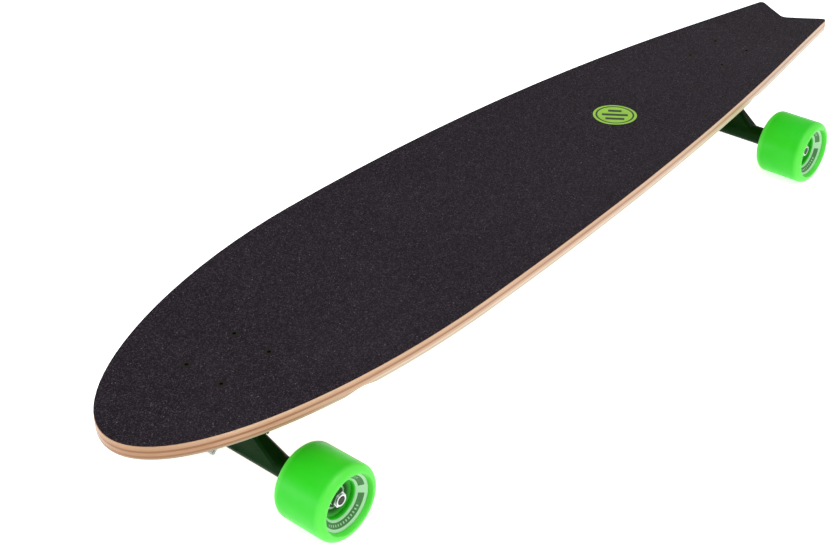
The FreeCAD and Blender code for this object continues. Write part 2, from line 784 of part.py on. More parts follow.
def steering_cylinder(body, kind, name, start, radius, length):
    """A cylinder about the steering axis, from start up the axis, added to or cut from a truck's body."""
    made = body.newObject(f"PartDesign::{kind}Cylinder", f"{body.Label}_{name}")
    made.AttachmentSupport = [(origin_feature(body, "XY_Plane"), "")]
    made.MapMode = "FlatFace"
    x, z = along(start, 0)
    made.AttachmentOffset = Placement(
        Vector(x.value, 0, z.value), Rotation(Vector(0, 1, 0), 90 - s.steer_angle.value)
    )
    bind(made, "AttachmentOffset.Base.x", x)
    bind(made, "AttachmentOffset.Base.z", z)
    bind(made, "AttachmentOffset.Rotation.Angle", 90 - s.steer_angle)
    bind(made, "Radius", radius)
    bind(made, "Height", length)
    return made


def baseplate(prefix, truck):
    """A flange with a hollow wedge: its slanted face carries the kingpin, its foot the pivot cup."""
    body = new_body(f"{prefix}_baseplate", truck)
    label = body.Label
    flange(body, label, -s.plate_thickness, s.plate_thickness)

    tower_back = -s.pivot_mouth - s.tower_length
    inboard = s.plate_length / 2 - 2
    inner_face = s.ring_thickness + 2.5
    top_reach = (-1 - w.ring_z - w.base_face * w.steer_cosine) / w.steer_sine
    wedge = sketch(body, f"{label}_wedge", "XZ_Plane")
    polygon(
        wedge,
        [
            (-inboard, -1),
            along(top_reach, -w.base_face),
            along(-s.bushing_radius - 3.5, -w.base_face),
            along(-s.axle_reach, -inner_face),
            along(-s.pivot_mouth, -inner_face),
            along(-s.pivot_mouth, 0),
            along(tower_back, 0),
            along(tower_back, -s.tower_radius * 0.75),
            (-inboard, -s.truck_height * 0.72),
        ],
    )
    extrude(body, "Pad", wedge, s.wedge_width, symmetric=True)
    steering_cylinder(body, "Additive", "tower", tower_back, s.tower_radius, s.tower_length)

    hollow = sketch(body, f"{label}_hollow", "XZ_Plane")
    wall = 7
    floor_x = inboard - wall
    low_reach = (-floor_x - w.ring_x + w.head_seat * w.steer_sine) / w.steer_cosine
    high_reach = s.kingpin_flats * 0.6 + 4
    high_corner = along(high_reach, -w.head_seat)
    low_corner = along(low_reach, -w.head_seat)
    polygon(hollow, [(-floor_x, 1), (high_corner[0], 1), high_corner, low_corner])
    extrude(body, "Pocket", hollow, s.wedge_width - 6, symmetric=True)

    cup = s.pivot_radius + s.pivot_play + s.cup_wall
    depth = s.pivot_length + s.pivot_play + s.cup_wall - s.pivot_mouth
    steering_cylinder(
        body, "Subtractive", "cup_seat", -s.pivot_mouth - depth, cup, depth + 1
    )
    bore = body.newObject("PartDesign::SubtractiveCylinder", f"{label}_kingpin_bore")
    bore.AttachmentSupport = [(origin_feature(body, "XY_Plane"), "")]
    bore.MapMode = "FlatFace"
    x, z = along(0, -w.base_face)
    bore.AttachmentOffset = Placement(
        Vector(x.value, 0, z.value), Rotation(Vector(0, 1, 0), -s.steer_angle.value)
    )
    bind(bore, "AttachmentOffset.Base.x", x)
    bind(bore, "AttachmentOffset.Base.z", z)
    bind(bore, "AttachmentOffset.Rotation.Angle", -s.steer_angle)
    bind(bore, "Radius", s.kingpin_radius + s.kingpin_play)
    bind(bore, "Height", s.seat_wall + 1)
    flange_holes(body, label, 1, s.plate_thickness + 2)
    return body


def pivot_cup(prefix, rings):
    """The plastic cup round the pivot pin, turned about the steering axis."""
    turn = Rotation(Vector(0, 1, 0), -90)
    inner = s.pivot_radius + s.pivot_play
    outer = inner + s.cup_wall
    floor = s.pivot_length + s.pivot_play
    turned(
        f"{prefix}_pivot_cup",
        rings.multiply(Placement(Vector(0, 0, 0), turn)),
        [
            (inner, s.pivot_mouth),
            (outer, s.pivot_mouth),
            (outer, floor + s.cup_wall),
            (0, floor + s.cup_wall),
            (0, floor),
            (inner - s.cup_wall, floor),
            (inner, floor - s.cup_wall),
        ],
    )


def hanger_web(body):
    """The wing from the ring to the axle: thicker at the tube, with sloping, bevelled shoulders."""
    slope = arctangent(s.axle_drop / s.axle_reach)
    span = root(s.axle_reach * s.axle_reach + s.axle_drop * s.axle_drop)
    above = as_size(2)

    def in_side_view(down, out):
        return (
            out * sine(slope) - down * cosine(slope),
            out * cosine(slope) + down * sine(slope),
        )

    side = sketch(body, f"{body.Label}_web_side", "XZ_Plane")
    narrow = s.web_thickness / 2
    wide = s.tube_radius - 0.4
    polygon(
        side,
        [
            in_side_view(-above, narrow),
            in_side_view(-above, -narrow),
            in_side_view(span, -wide),
            in_side_view(span, wide),
        ],
    )
    extrude(body, "Pad", side, s.web_low_half * 2, symmetric=True)

    shoulders = sketch(body, f"{body.Label}_shoulders", "XY_Plane", turn=slope)
    for hand in (-1, 1):
        polygon(
            shoulders,
            [
                (-span, s.web_low_half * hand),
                (above, s.web_top_half * hand),
                (above * 3, s.web_top_half * hand),
                (above * 3, s.web_low_half * 1.1 * hand),
                (-span, s.web_low_half * 1.1 * hand),
            ],
        )
    extrude(body, "Pocket", shoulders, s.tube_radius * 3, symmetric=True)

    def slanted(edge):
        if not isinstance(edge.Curve, Part.Line):
            return False
        return edge.Length > s.web_top_half.value and 0.2 < abs(edge.Curve.Direction.y) < 0.95

    soften(body, "Chamfer", s.web_bevel, slanted)


def hanger(prefix, rings):
    """The casting that swings on the pivot and the bushings and holds the axle."""
    body = new_body(f"{prefix}_hanger", rings)
    label = body.Label
    ring_disc = sketch(body, f"{label}_ring", "XY_Plane")
    circle(ring_disc, 0, 0, s.ring_radius)
    extrude(body, "Pad", ring_disc, s.ring_thickness, symmetric=True)

    hanger_web(body)

    spine = sketch(body, f"{label}_spine", "XZ_Plane")
    front = -s.pivot_mouth + 3
    clear = -s.bushing_radius - 1.5
    polygon(
        spine,
        [
            (clear + 2, -w.seat),
            (front + 4, -w.seat - 2),
            (front, -w.seat - 1),
            (front, s.axle_drop - 6),
            (-s.axle_reach - 4, s.axle_drop + 8),
            (clear - 2, s.axle_drop + 8),
            (clear, w.seat + 2),
        ],
    )
    extrude(body, "Pad", spine, s.spine_width, symmetric=True)

    tube = sketch(body, f"{label}_tube", "XY_Plane", (-s.axle_reach, 0, s.axle_drop))
    taper_at = s.web_low_half + 4
    polygon(
        tube,
        [
            (0, w.hanger_end),
            (s.tube_end_radius - 1, w.hanger_end),
            (s.tube_end_radius, w.hanger_end - 1),
            (s.tube_radius, taper_at),
            (s.tube_radius, -taper_at),
            (s.tube_end_radius, 1 - w.hanger_end),
            (s.tube_end_radius - 1, -w.hanger_end),
            (0, -w.hanger_end),
        ],
    )
    spin(body, "Revolution", tube)

    pin = sketch(body, f"{label}_pin", "XZ_Plane")
    shoulder = -s.pivot_mouth + 0.5
    polygon(
        pin,
        [
            (front + 3, 0),
            (front + 3, s.pivot_radius + 2),
            (front, s.pivot_radius + 1.6),
            (shoulder, s.pivot_radius),
            (-s.pivot_length + s.pivot_radius * 0.45, s.pivot_radius),
            (-s.pivot_length, s.pivot_radius * 0.55),
            (-s.pivot_length, 0),
        ],
    )
    spin(body, "Revolution", pin, "H_Axis")

    for side, backwards in ((1, True), (-1, False)):
        seat = sketch(body, f"{label}_seat", "XY_Plane", (0, 0, w.seat * side))
        circle(seat, 0, 0, s.bushing_radius + 0.6)
        extrude(body, "Pocket", seat, 40, backwards=backwards)
    hole = sketch(body, f"{label}_hole", "XY_Plane")
    circle(hole, 0, 0, s.ring_hole_radius)
    extrude(body, "Pocket", hole, s.ring_thickness * 2, symmetric=True)
    bore = sketch(body, f"{label}_bore", "XZ_Plane")
    circle(bore, -s.axle_reach, s.axle_drop, s.axle_radius)
    extrude(body, "Pocket", bore, s.hanger_width + 2, symmetric=True)
    return body


def kingpin_stack(prefix, rings):
    """The kingpin with its two bushings, two washers and nut, all turned about the kingpin."""
    play = s.kingpin_radius + s.bushing_bore_play
    radius = s.kingpin_radius
    kingpin = turned(
        f"{prefix}_kingpin",
        rings,
        [
            (0, -w.head_seat),
            (radius, -w.head_seat),
            (radius, w.kingpin_end - 1),
            (radius - 1, w.kingpin_end),
            (0, w.kingpin_end),
        ],
    )
    head = sketch(kingpin, f"{prefix}_kingpin_head", "XY_Plane", (0, 0, -w.head_seat))
    hexagon(head, s.kingpin_flats)
    extrude(kingpin, "Pad", head, s.kingpin_head_height, backwards=True)

    ring(f"{prefix}_boardside_washer", rings, play, s.washer_radius, -w.base_face, -w.board_washer)
    shoulder = s.bushing_radius - 1.2
    turned(
        f"{prefix}_boardside_bushing",
        rings,
        [
            (play, -w.board_washer),
            (shoulder, -w.board_washer),
            (s.bushing_radius, 1.2 - w.board_washer),
            (s.bushing_radius, -w.seat),
            (play, -w.seat),
        ],
    )
    turned(
        f"{prefix}_roadside_bushing",
        rings,
        [
            (play, w.seat),
            (s.bushing_radius, w.seat),
            (s.bushing_radius, w.seat + 3),
            (s.bushing_tip_radius, w.road_washer),
            (play, w.road_washer),
        ],
    )
    ring(f"{prefix}_roadside_washer", rings, play, s.road_washer_radius, w.road_washer, w.nut_face)
    lock_nut(
        f"{prefix}_kingpin_nut", rings, s.kingpin_flats, s.kingpin_nut_height, radius, w.nut_face
    )


def axle(prefix, truck):
    """The steel axle through the hanger, along its frame's Z."""
    end = w.axle_end
    radius = s.axle_radius
    turned(
        f"{prefix}_axle",
        axle_frame(truck, True),
        [
            (0, -end),
            (radius - 0.8, -end),
            (radius, 0.8 - end),
            (radius, end - 0.8),
            (radius - 0.8, end),
            (0, end),
        ],
    )


def truck(prefix, front):
    frame = truck_frame(front)
    rings = ring_frame(frame)
    riser_pad(prefix, frame)
    baseplate(prefix, frame)
    pivot_cup(prefix, rings)
    kingpin_stack(prefix, rings)
    hanger(prefix, rings)
    axle(prefix, frame)
    mounting_bolts(prefix, frame)
    mounting_nuts(prefix, frame)
    for side, left in (("left", True), ("right", False)):
        wheel(f"{prefix}_{side}", axle_frame(frame, left))


# ---------------------------------------------------------------- a wheel


def mirrored_pair(body, feature, across):
    """Repeats a feature on the other side of a plane that lies across the axle."""
    pattern = body.newObject("PartDesign::LinearPattern", f"{feature.Name}_pair")
    pattern.Originals = [feature]
    pattern.Direction = (origin_feature(body, "Z_Axis"), [""])
    pattern.Occurrences = 2
    bind(pattern, "Length", across)
    body.Tip = pattern


def axle_ring(label, place, bore, radius, low, thickness, step):
    """Two like rings on one axle, a step apart."""
    body = ring(label, place, bore, radius, low, low + thickness)
    mirrored_pair(body, body.Tip, step)


def urethane_wheel(label, place):
    """The cast wheel: rounded lips, conical dished faces, and a stepped bore for two bearings."""
    middle, half = w.wheel_middle, s.wheel_width / 2
    seat = s.spacer_length / 2 + s.bearing_width
    face = [
        (w.wheel_radius, half),
        (s.dish_rim_radius, half),
        (s.face_radius, half - s.face_dish),
    ]
    mouth = seat + s.recess_depth
    core = [
        (s.recess_radius, mouth),
        (s.recess_radius, seat + s.recess_step),
        (s.bearing_radius, seat),
        (s.bearing_radius, s.spacer_length / 2),
        (s.shoulder_radius, s.spacer_length / 2),
    ]
    upper = [(radius, middle + height) for radius, height in face]
    upper += [(radius, w.core_middle + height) for radius, height in core]
    lower = [(radius, w.core_middle - height) for radius, height in reversed(core)]
    lower += [(radius, middle - height) for radius, height in reversed(face)]
    body = turned(label, place, upper + lower)
    for size, radius, centre, reach in (
        (s.lip_radius, w.wheel_radius, middle, half),
        (s.dish_rim_round, s.dish_rim_radius, middle, half),
        (s.recess_round, s.recess_radius, w.core_middle, mouth),
    ):
        both = [round_edge_at(radius, centre + reach), round_edge_at(radius, centre - reach)]
        soften(body, "Fillet", size, any_of(*both))
    return body


def wheel(prefix, place):
    """One wheel with its bearings, spacer, washers and nut."""
    urethane_wheel(f"{prefix}_wheel", place)
    pair = s.spacer_length + s.bearing_width
    race = s.axle_radius + s.race_play
    start = w.inner_bearing
    axle_ring(
        f"{prefix}_outer_races",
        place,
        s.outer_race_radius,
        s.bearing_radius,
        start,
        s.bearing_width,
        pair,
    )
    axle_ring(
        f"{prefix}_inner_races", place, race, s.inner_race_radius, start, s.bearing_width, pair
    )
    shield_bore = s.inner_race_radius + s.shield_gap
    first = start + s.shield_recess
    second = start + s.bearing_width - s.shield_recess - s.shield_thickness
    body = new_body(f"{prefix}_bearing_shields", place)
    drawing = sketch(body, f"{prefix}_shield_profile", "XZ_Plane")
    for low in (first, second):
        rectangle(drawing, shield_bore, s.outer_race_radius, low, low + s.shield_thickness)
    mirrored_pair(body, spin(body, "Revolution", drawing), pair)

    spacer_start = start + s.bearing_width
    ring(
        f"{prefix}_spacer", place, race, s.spacer_radius, spacer_start, spacer_start + s.spacer_length
    )
    washer = s.speed_washer_thickness
    axle_ring(
        f"{prefix}_speed_washers",
        place,
        race,
        s.speed_washer_radius,
        w.hanger_end,
        washer,
        w.stack_end - w.hanger_end,
    )
    lock_nut(
        f"{prefix}_axle_nut", place, s.axle_nut_flats, s.axle_nut_height, s.axle_radius, w.axle_nut
    )


# ---------------------------------------------------------------- build and write


def check_and_write():
    doc.recompute()
    for thing in doc.Objects:
        if {"Invalid", "Error"} & set(thing.State):
            raise RuntimeError(f"{thing.Label} failed: {thing.State}")
    for body in nodes:
        if body.Shape.isNull() or not body.Shape.isValid() or not body.Shape.Solids:
            raise RuntimeError(f"{body.Label} has no valid shape")
    os.makedirs("parts", exist_ok=True)
    for body in nodes:
        body.Shape.exportStep(f"parts/{body.Label}.step")
    print(f"{len(nodes)} nodes, deck underside at the trucks {w.underside.value:.2f} mm")


board()
truck("front", True)
truck("rear", False)
check_and_write()
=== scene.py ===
"""Fishtail longboard: finishes, printed and threaded detail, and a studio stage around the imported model."""

import json
import math

import bmesh
import bpy
import numpy as np
from bpy.props import FloatProperty, FloatVectorProperty, IntProperty, PointerProperty
from bpy.types import Operator, Panel, PropertyGroup
from mathutils import Matrix, Vector
from mathutils.bvhtree import BVHTree


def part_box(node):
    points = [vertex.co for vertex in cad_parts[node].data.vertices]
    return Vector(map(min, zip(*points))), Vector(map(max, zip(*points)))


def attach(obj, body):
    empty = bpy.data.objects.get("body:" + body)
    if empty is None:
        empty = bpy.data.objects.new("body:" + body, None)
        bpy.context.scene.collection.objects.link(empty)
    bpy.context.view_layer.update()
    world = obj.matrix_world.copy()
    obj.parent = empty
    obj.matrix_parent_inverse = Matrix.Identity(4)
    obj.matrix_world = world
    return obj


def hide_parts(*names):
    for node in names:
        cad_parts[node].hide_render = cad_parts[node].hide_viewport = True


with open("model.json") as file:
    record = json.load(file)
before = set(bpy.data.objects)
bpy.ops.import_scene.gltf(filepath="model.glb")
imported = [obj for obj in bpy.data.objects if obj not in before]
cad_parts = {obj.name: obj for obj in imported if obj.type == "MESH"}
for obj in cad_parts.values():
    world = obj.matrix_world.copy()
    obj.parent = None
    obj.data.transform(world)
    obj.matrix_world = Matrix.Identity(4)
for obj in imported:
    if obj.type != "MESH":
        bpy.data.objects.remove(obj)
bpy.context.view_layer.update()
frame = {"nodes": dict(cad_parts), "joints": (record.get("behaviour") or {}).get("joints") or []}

bl_info = {
    "name": "Fishtail Longboard",
    "version": (1, 0, 0),
    "blender": (4, 5, 0),
    "location": "3D View > Sidebar > Longboard",
    "description": "Finishes and detail for a fishtail longboard on reverse kingpin trucks",
    "category": "Object",
}

NODES = frame["nodes"]
ENDS = ("front", "rear")
SIDES = ("left", "right")
WHEELS = [f"{end}_{side}" for end in ENDS for side in SIDES]
MM = 0.001
# Vertices this near each other are one.
JOIN = 2e-6
GRIP_THICKNESS = 0.8 * MM
# Places along the board between which painted shade darkens the edge's plies towards the nose, and the length
# of the last step after them
NOSE_START = 330 * MM
NOSE_END = 470 * MM
NOSE_TIP = 50 * MM
# Places of the edge's two brown lines and of its lower plies, which painted light from below makes pale,
# counted in plies from the top
FIRST_LINE = 3.35
SECOND_LINE = 7.0
LIT_LOW_PLIES = 5.3


# ---------------------------------------------------------------- sizes and colours


def colour(name, default, description):
    return FloatVectorProperty(
        name=name, description=description, default=default, subtype="COLOR", size=3, min=0, max=1
    )


def length(name, default, description):
    return FloatProperty(name=name, description=description, default=default, unit="LENGTH")


def share(name, default, description):
    return FloatProperty(
        name=name, description=description, default=default, subtype="FACTOR", min=0, max=1
    )


class DeckLook(PropertyGroup):
    thickness: length("Deck thickness", 14.2 * MM, "Pressed maple from the underside to the grip tape")
    plies: IntProperty(name="Plies", description="Maple plies in the deck", default=9, min=3)
    maple: colour("Maple", (0.385, 0.188, 0.084), "Long-grain plies")
    # Also the colour of the painted light on the middle plies of the edge.
    pale_maple: colour("Pale maple", (0.575, 0.370, 0.228), "Top plies and the lightest figure")
    # Painted light: the lower plies along the sides, made pale as if lit from below.
    lit_low_ply: colour("Lower plies", (0.630, 0.550, 0.425), "Paler plies along the lower edge")
    # Painted shade: the lower plies at the nose, darkened.
    shaded_low_ply_nose: colour("Lower plies, nose", (0.270, 0.198, 0.112), "The lower plies at the nose")
    # Painted shade: darker tone of the edge at the nose tip.
    nose_shade: colour("Nose tone", (0.300, 0.145, 0.056), "Darker maple of the edge at the nose")
    cross_ply: colour("Cross ply", (0.215, 0.080, 0.016), "End grain of the cross plies and glue lines")
    lacquer: share("Lacquer", 0.12, "Clear coat on the wood")


class GripLook(PropertyGroup):
    paper: colour("Grip", (0.0035, 0.0012, 0.0040), "Black grit in its resin")
    worn: colour("Grit facets", (0.0500, 0.0390, 0.0505), "Facets and edges of the grit")
    # Painted highlight: colour of the rare bright specks that stand in for glints off the grit.
    painted_glint: colour("Glint", (0.135, 0.125, 0.142), "Single crystals that catch the light")
    grain: length("Grain", 0.75 * MM, "Size of the grit")


class BadgeLook(PropertyGroup):
    across: length("Badge diameter", 46 * MM, "Round badge let into the grip tape")
    ahead: length("Badge place", -149 * MM, "Badge centre along the board")
    aside: length("Badge offset", 1.7 * MM, "Badge centre across the board")
    field: colour("Badge field", (0.24, 0.47, 0.026), "Yellow-green of the badge")
    ink: colour("Badge ink", (0.006, 0.032, 0.004), "Dark green ring and bars of the badge")


class WheelLook(PropertyGroup):
    urethane: colour("Urethane", (0.018, 0.68, 0.010), "Body of the wheels")
    # Painted light: lighter green laid on the thin lips, standing in for light through the urethane.
    lip_light: colour("Lip", (0.125, 0.83, 0.080), "Thin, light-filled rims of the wheels")
    # Painted shade: the dark green of the recess around the bearings.
    core: colour("Core", (0.003, 0.085, 0.002), "Shaded hub around the bearings")
    # Painted glow: the lips give off a little light of their own.
    glow: FloatProperty(
        name="Lip glow", description="Light that the thin rims pass on", default=0.06, min=0
    )
    print_paper: colour("Print", (0.37, 0.67, 0.38), "Pale band printed on the wheels' faces")
    print_ink: colour("Print ink", (0.043, 0.165, 0.043), "Dark arcs of the printed band")
    print_inner: length("Print inside", 17.9 * MM, "Inner radius of the printed band")
    print_outer: length("Print outside", 26.2 * MM, "Outer radius of the printed band")


class MetalLook(PropertyGroup):
    paint: colour("Truck paint", (0.0010, 0.021, 0.0012), "Dark green gloss paint of the trucks")
    paint_thin: colour("Thin paint", (0.002, 0.026, 0.003), "Lighter patches where the paint is thin")
    zinc: colour("Zinc", (0.60, 0.60, 0.62), "Zinc plated nuts, washers and kingpins")
    bright: colour("Ground steel", (0.70, 0.70, 0.72), "Bearing races and spacers")
    axle: colour("Axle steel", (0.045, 0.043, 0.043), "Oiled, blackened axles")
    blackened: colour("Black oxide", (0.0085, 0.0070, 0.0060), "Deck bolts")
    kingpin_pitch: length("Kingpin thread", 1.06 * MM, "Pitch of the kingpin thread")
    broken_edge: length("Casting edges", 0.6 * MM, "Rounding of the castings' edges")


class RubberLook(PropertyGroup):
    bushing: colour("Bushings", (0.020, 0.020, 0.022), "Black urethane bushings")
    cup: colour("Pivot cups", (0.016, 0.016, 0.017), "Pivot cups")
    riser: colour("Risers", (0.018, 0.018, 0.019), "Riser pads")
    seal: colour("Bearing seals", (0.012, 0.012, 0.013), "Moulded bearing seals")


class StageLook(PropertyGroup):
    floor: colour("Floor", (0.90, 0.90, 0.90), "Plain pale floor")
    glow: FloatProperty(name="Floor glow", description="Light from the lit floor", default=0.80, min=0)
    sky: FloatProperty(name="Sky", description="Strength of the even light", default=0.78, min=0)
    key: FloatProperty(name="Key light", description="Power of the overhead softbox", default=26, min=0)
    rim: FloatProperty(name="Rim light", description="Power of the low side light", default=5.5, min=0)
    bearing: FloatProperty(
        name="Bearing", description="Camera's bearing from the nose", default=math.radians(41.179),
        subtype="ANGLE",
    )
    height: FloatProperty(
        name="Elevation", description="Camera's angle above the floor", default=math.radians(32.728),
        subtype="ANGLE",
    )
    roll: FloatProperty(
        name="Roll", description="Camera's tilt about its own axis", default=math.radians(0.950),
        subtype="ANGLE",
    )
    distance: length("Distance", 1.46708, "Camera to the point it looks at")
    lens: FloatProperty(name="Lens", description="Focal length in millimetres", default=66.264, min=1)
    aim: FloatVectorProperty(
        name="Aim", description="Point the camera looks at", default=(0.14024, -0.02875, 0.060),
        subtype="TRANSLATION", size=3,
    )


LOOKS = {
    "longboard_deck": DeckLook,
    "longboard_grip": GripLook,
    "longboard_badge": BadgeLook,
    "longboard_wheel": WheelLook,
    "longboard_metal": MetalLook,
    "longboard_rubber": RubberLook,
    "longboard_stage": StageLook,
}


# ---------------------------------------------------------------- materials


class Value:
    """A number that varies over a surface; arithmetic on it adds Math nodes."""

    def __init__(self, recipe, socket):
        self.recipe = recipe
        self.socket = socket

    def math(self, operation, *operands):
        return self.recipe.node("ShaderNodeMath", {"operation": operation}, dict(enumerate(operands)))

    def __add__(self, other):
        return self.math("ADD", self, other)

    def __sub__(self, other):
        return self.math("SUBTRACT", self, other)

    def __rsub__(self, other):
        return self.math("SUBTRACT", other, self)

    def __mul__(self, other):
        return self.math("MULTIPLY", self, other)

    def __truediv__(self, other):
        return self.math("DIVIDE", self, other)

    def __pow__(self, power):
        return self.math("POWER", self, power)

    def __lt__(self, other):
        return self.math("LESS_THAN", self, other)

    def __gt__(self, other):
        return self.math("GREATER_THAN", self, other)

    def __abs__(self):
        return self.math("ABSOLUTE", self)

    def wave(self):
        return self.math("SINE", self)

    __radd__ = __add__
    __rmul__ = __mul__


class Recipe:
    """The nodes of one material."""

    def __init__(self, name):
        self.material = bpy.data.materials.new(name)
        self.material.use_nodes = True
        self.tree = self.material.node_tree
        self.tree.nodes.clear()
        self.place = Value(self, self.make("ShaderNodeTexCoord", {}, {}).outputs["Object"])

    def make(self, kind, settings, inputs):
        """One node by its type, its settings, which are set first, and what its sockets take."""
        made = self.tree.nodes.new(kind)
        for name, setting in settings.items():
            setattr(made, name, setting)
        for key, given in inputs.items():
            socket = made.inputs[key]
            if isinstance(given, Value):
                self.tree.links.new(given.socket, socket)
            elif hasattr(socket.default_value, "__len__") and len(socket.default_value) == 4:
                socket.default_value = (*given, 1)
            else:
                socket.default_value = given
        return made

    def node(self, kind, settings=None, inputs=None, output=0):
        """The value of one output of a new node."""
        return Value(self, self.make(kind, settings or {}, inputs or {}).outputs[output])

    def offset(self, vector, by):
        return self.node("ShaderNodeVectorMath", {"operation": "SUBTRACT"}, {0: vector, 1: by})

    def stretch(self, vector, by):
        return self.node("ShaderNodeVectorMath", {"operation": "MULTIPLY"}, {0: vector, 1: by})

    def axes(self, vector):
        split = self.make("ShaderNodeSeparateXYZ", {}, {0: vector})
        return [Value(self, socket) for socket in split.outputs]

    def noise(self, vector, scale, detail=2.0, roughness=0.5):
        inputs = {"Vector": vector, "Scale": scale, "Detail": detail, "Roughness": roughness}
        return self.node("ShaderNodeTexNoise", {}, inputs, "Fac")

    def between(self, value, low, high, first=0.0, last=1.0):
        """A soft step from first at low to last at high."""
        return self.node(
            "ShaderNodeMapRange",
            {"interpolation_type": "SMOOTHSTEP"},
            {"Value": value, "From Min": low, "From Max": high, "To Min": first, "To Max": last},
        )

    def mix(self, factor, first, second):
        """Colours mixed by a factor."""
        settings = {"data_type": "RGBA"}
        return self.node("ShaderNodeMix", settings, {0: factor, 6: first, 7: second}, 2)

    def bump(self, height, distance, strength=1.0):
        inputs = {"Height": height, "Distance": distance, "Strength": strength}
        return self.node("ShaderNodeBump", {}, inputs)

    def coat_all(self, **sockets):
        """Closes the recipe with one surface; sockets are named with underscores for spaces."""
        inputs = {name.replace("_", " "): given for name, given in sockets.items()}
        surface = self.node("ShaderNodeBsdfPrincipled", {}, inputs)
        self.make("ShaderNodeOutputMaterial", {}, {"Surface": surface})
        return self.material


def finish_node(name, material, broken_edge=0.0):
    """Gives a CAD node its finish, rounded edges when asked, and smooth shading up to its real edges."""
    piece = NODES[name]
    piece.data.materials.clear()
    piece.data.materials.append(material)
    if broken_edge:
        weld = piece.modifiers.new("weld", "WELD")
        weld.merge_threshold = JOIN
        bevel = piece.modifiers.new("bevel", "BEVEL")
        bevel.width = broken_edge
        bevel.segments = 2
        bevel.limit_method = "ANGLE"
        bevel.angle_limit = math.radians(35)
        bevel.use_clamp_overlap = True
    smooth_over(piece)


def smooth_over(piece):
    """Adds smooth shading up to a piece's real edges."""
    modifier = piece.modifiers.new("smooth", "NODES")
    modifier.node_group = bpy.data.node_groups.get("smooth_by_angle") or angle_group()


def angle_group(sharp=math.radians(32)):
    """Joins the faces at their shared borders and shades them smoothly below a sharp angle."""
    group = bpy.data.node_groups.new("smooth_by_angle", "GeometryNodeTree")
    for direction in ("INPUT", "OUTPUT"):
        group.interface.new_socket("Mesh", in_out=direction, socket_type="NodeSocketGeometry")
    add, link = group.nodes.new, group.links.new
    start, end = add("NodeGroupInput"), add("NodeGroupOutput")
    weld = add("GeometryNodeMergeByDistance")
    weld.inputs["Distance"].default_value = JOIN
    faces = add("GeometryNodeSetShadeSmooth")
    faces.domain = "FACE"
    edges = add("GeometryNodeSetShadeSmooth")
    edges.domain = "EDGE"
    angle = add("GeometryNodeInputMeshEdgeAngle")
    steep = add("FunctionNodeCompare")
    steep.inputs["B"].default_value = sharp
    edges.inputs["Shade Smooth"].default_value = False
    link(start.outputs[0], weld.inputs["Geometry"])
    link(weld.outputs[0], faces.inputs["Geometry"])
    link(faces.outputs[0], edges.inputs["Geometry"])
    link(angle.outputs["Unsigned Angle"], steep.inputs["A"])
    link(steep.outputs[0], edges.inputs["Selection"])
    link(edges.outputs[0], end.inputs[0])
    return group


# ---------------------------------------------------------------- the board's pressed shape


def pressed_surface():
    """Height of the grip tape's mean surface as constant, x, x squared and y squared shares."""
    mesh = NODES["grip_tape"].data
    points = np.empty(len(mesh.vertices) * 3, np.float32)
    mesh.vertices.foreach_get("co", points)
    x, y, z = points.reshape(-1, 3).astype(float).T
    shares = np.stack([np.ones_like(x), x, x * x, y * y], axis=1)
    low, high = x.min(), x.max()
    kept = np.ones(len(x), bool)
    for _ in range(6):
        found = np.linalg.lstsq(shares[kept], z[kept], rcond=None)[0]
        off = z - shares @ found
        kept = (off > np.median(off) - 0.5 * MM) & (x > low) & (x < high)
        upper = off[kept] > 0
        level = off[kept][upper].mean()
    found[0] += level
    return found


PRESSING = pressed_surface()


def top_height(x, y):
    """Height of the grip tape's upper side."""
    return PRESSING @ np.array([1, x, x * x, y * y])


def depth_below_top(recipe):
    """How far a point of the deck lies under the grip tape's upper side, and its place along the board."""
    x, y, z = recipe.axes(recipe.place)
    constant, by_x, by_xx, by_yy = (float(share) for share in PRESSING)
    top = constant + x * by_x + x * x * by_xx + y * y * by_yy
    return top - z, x


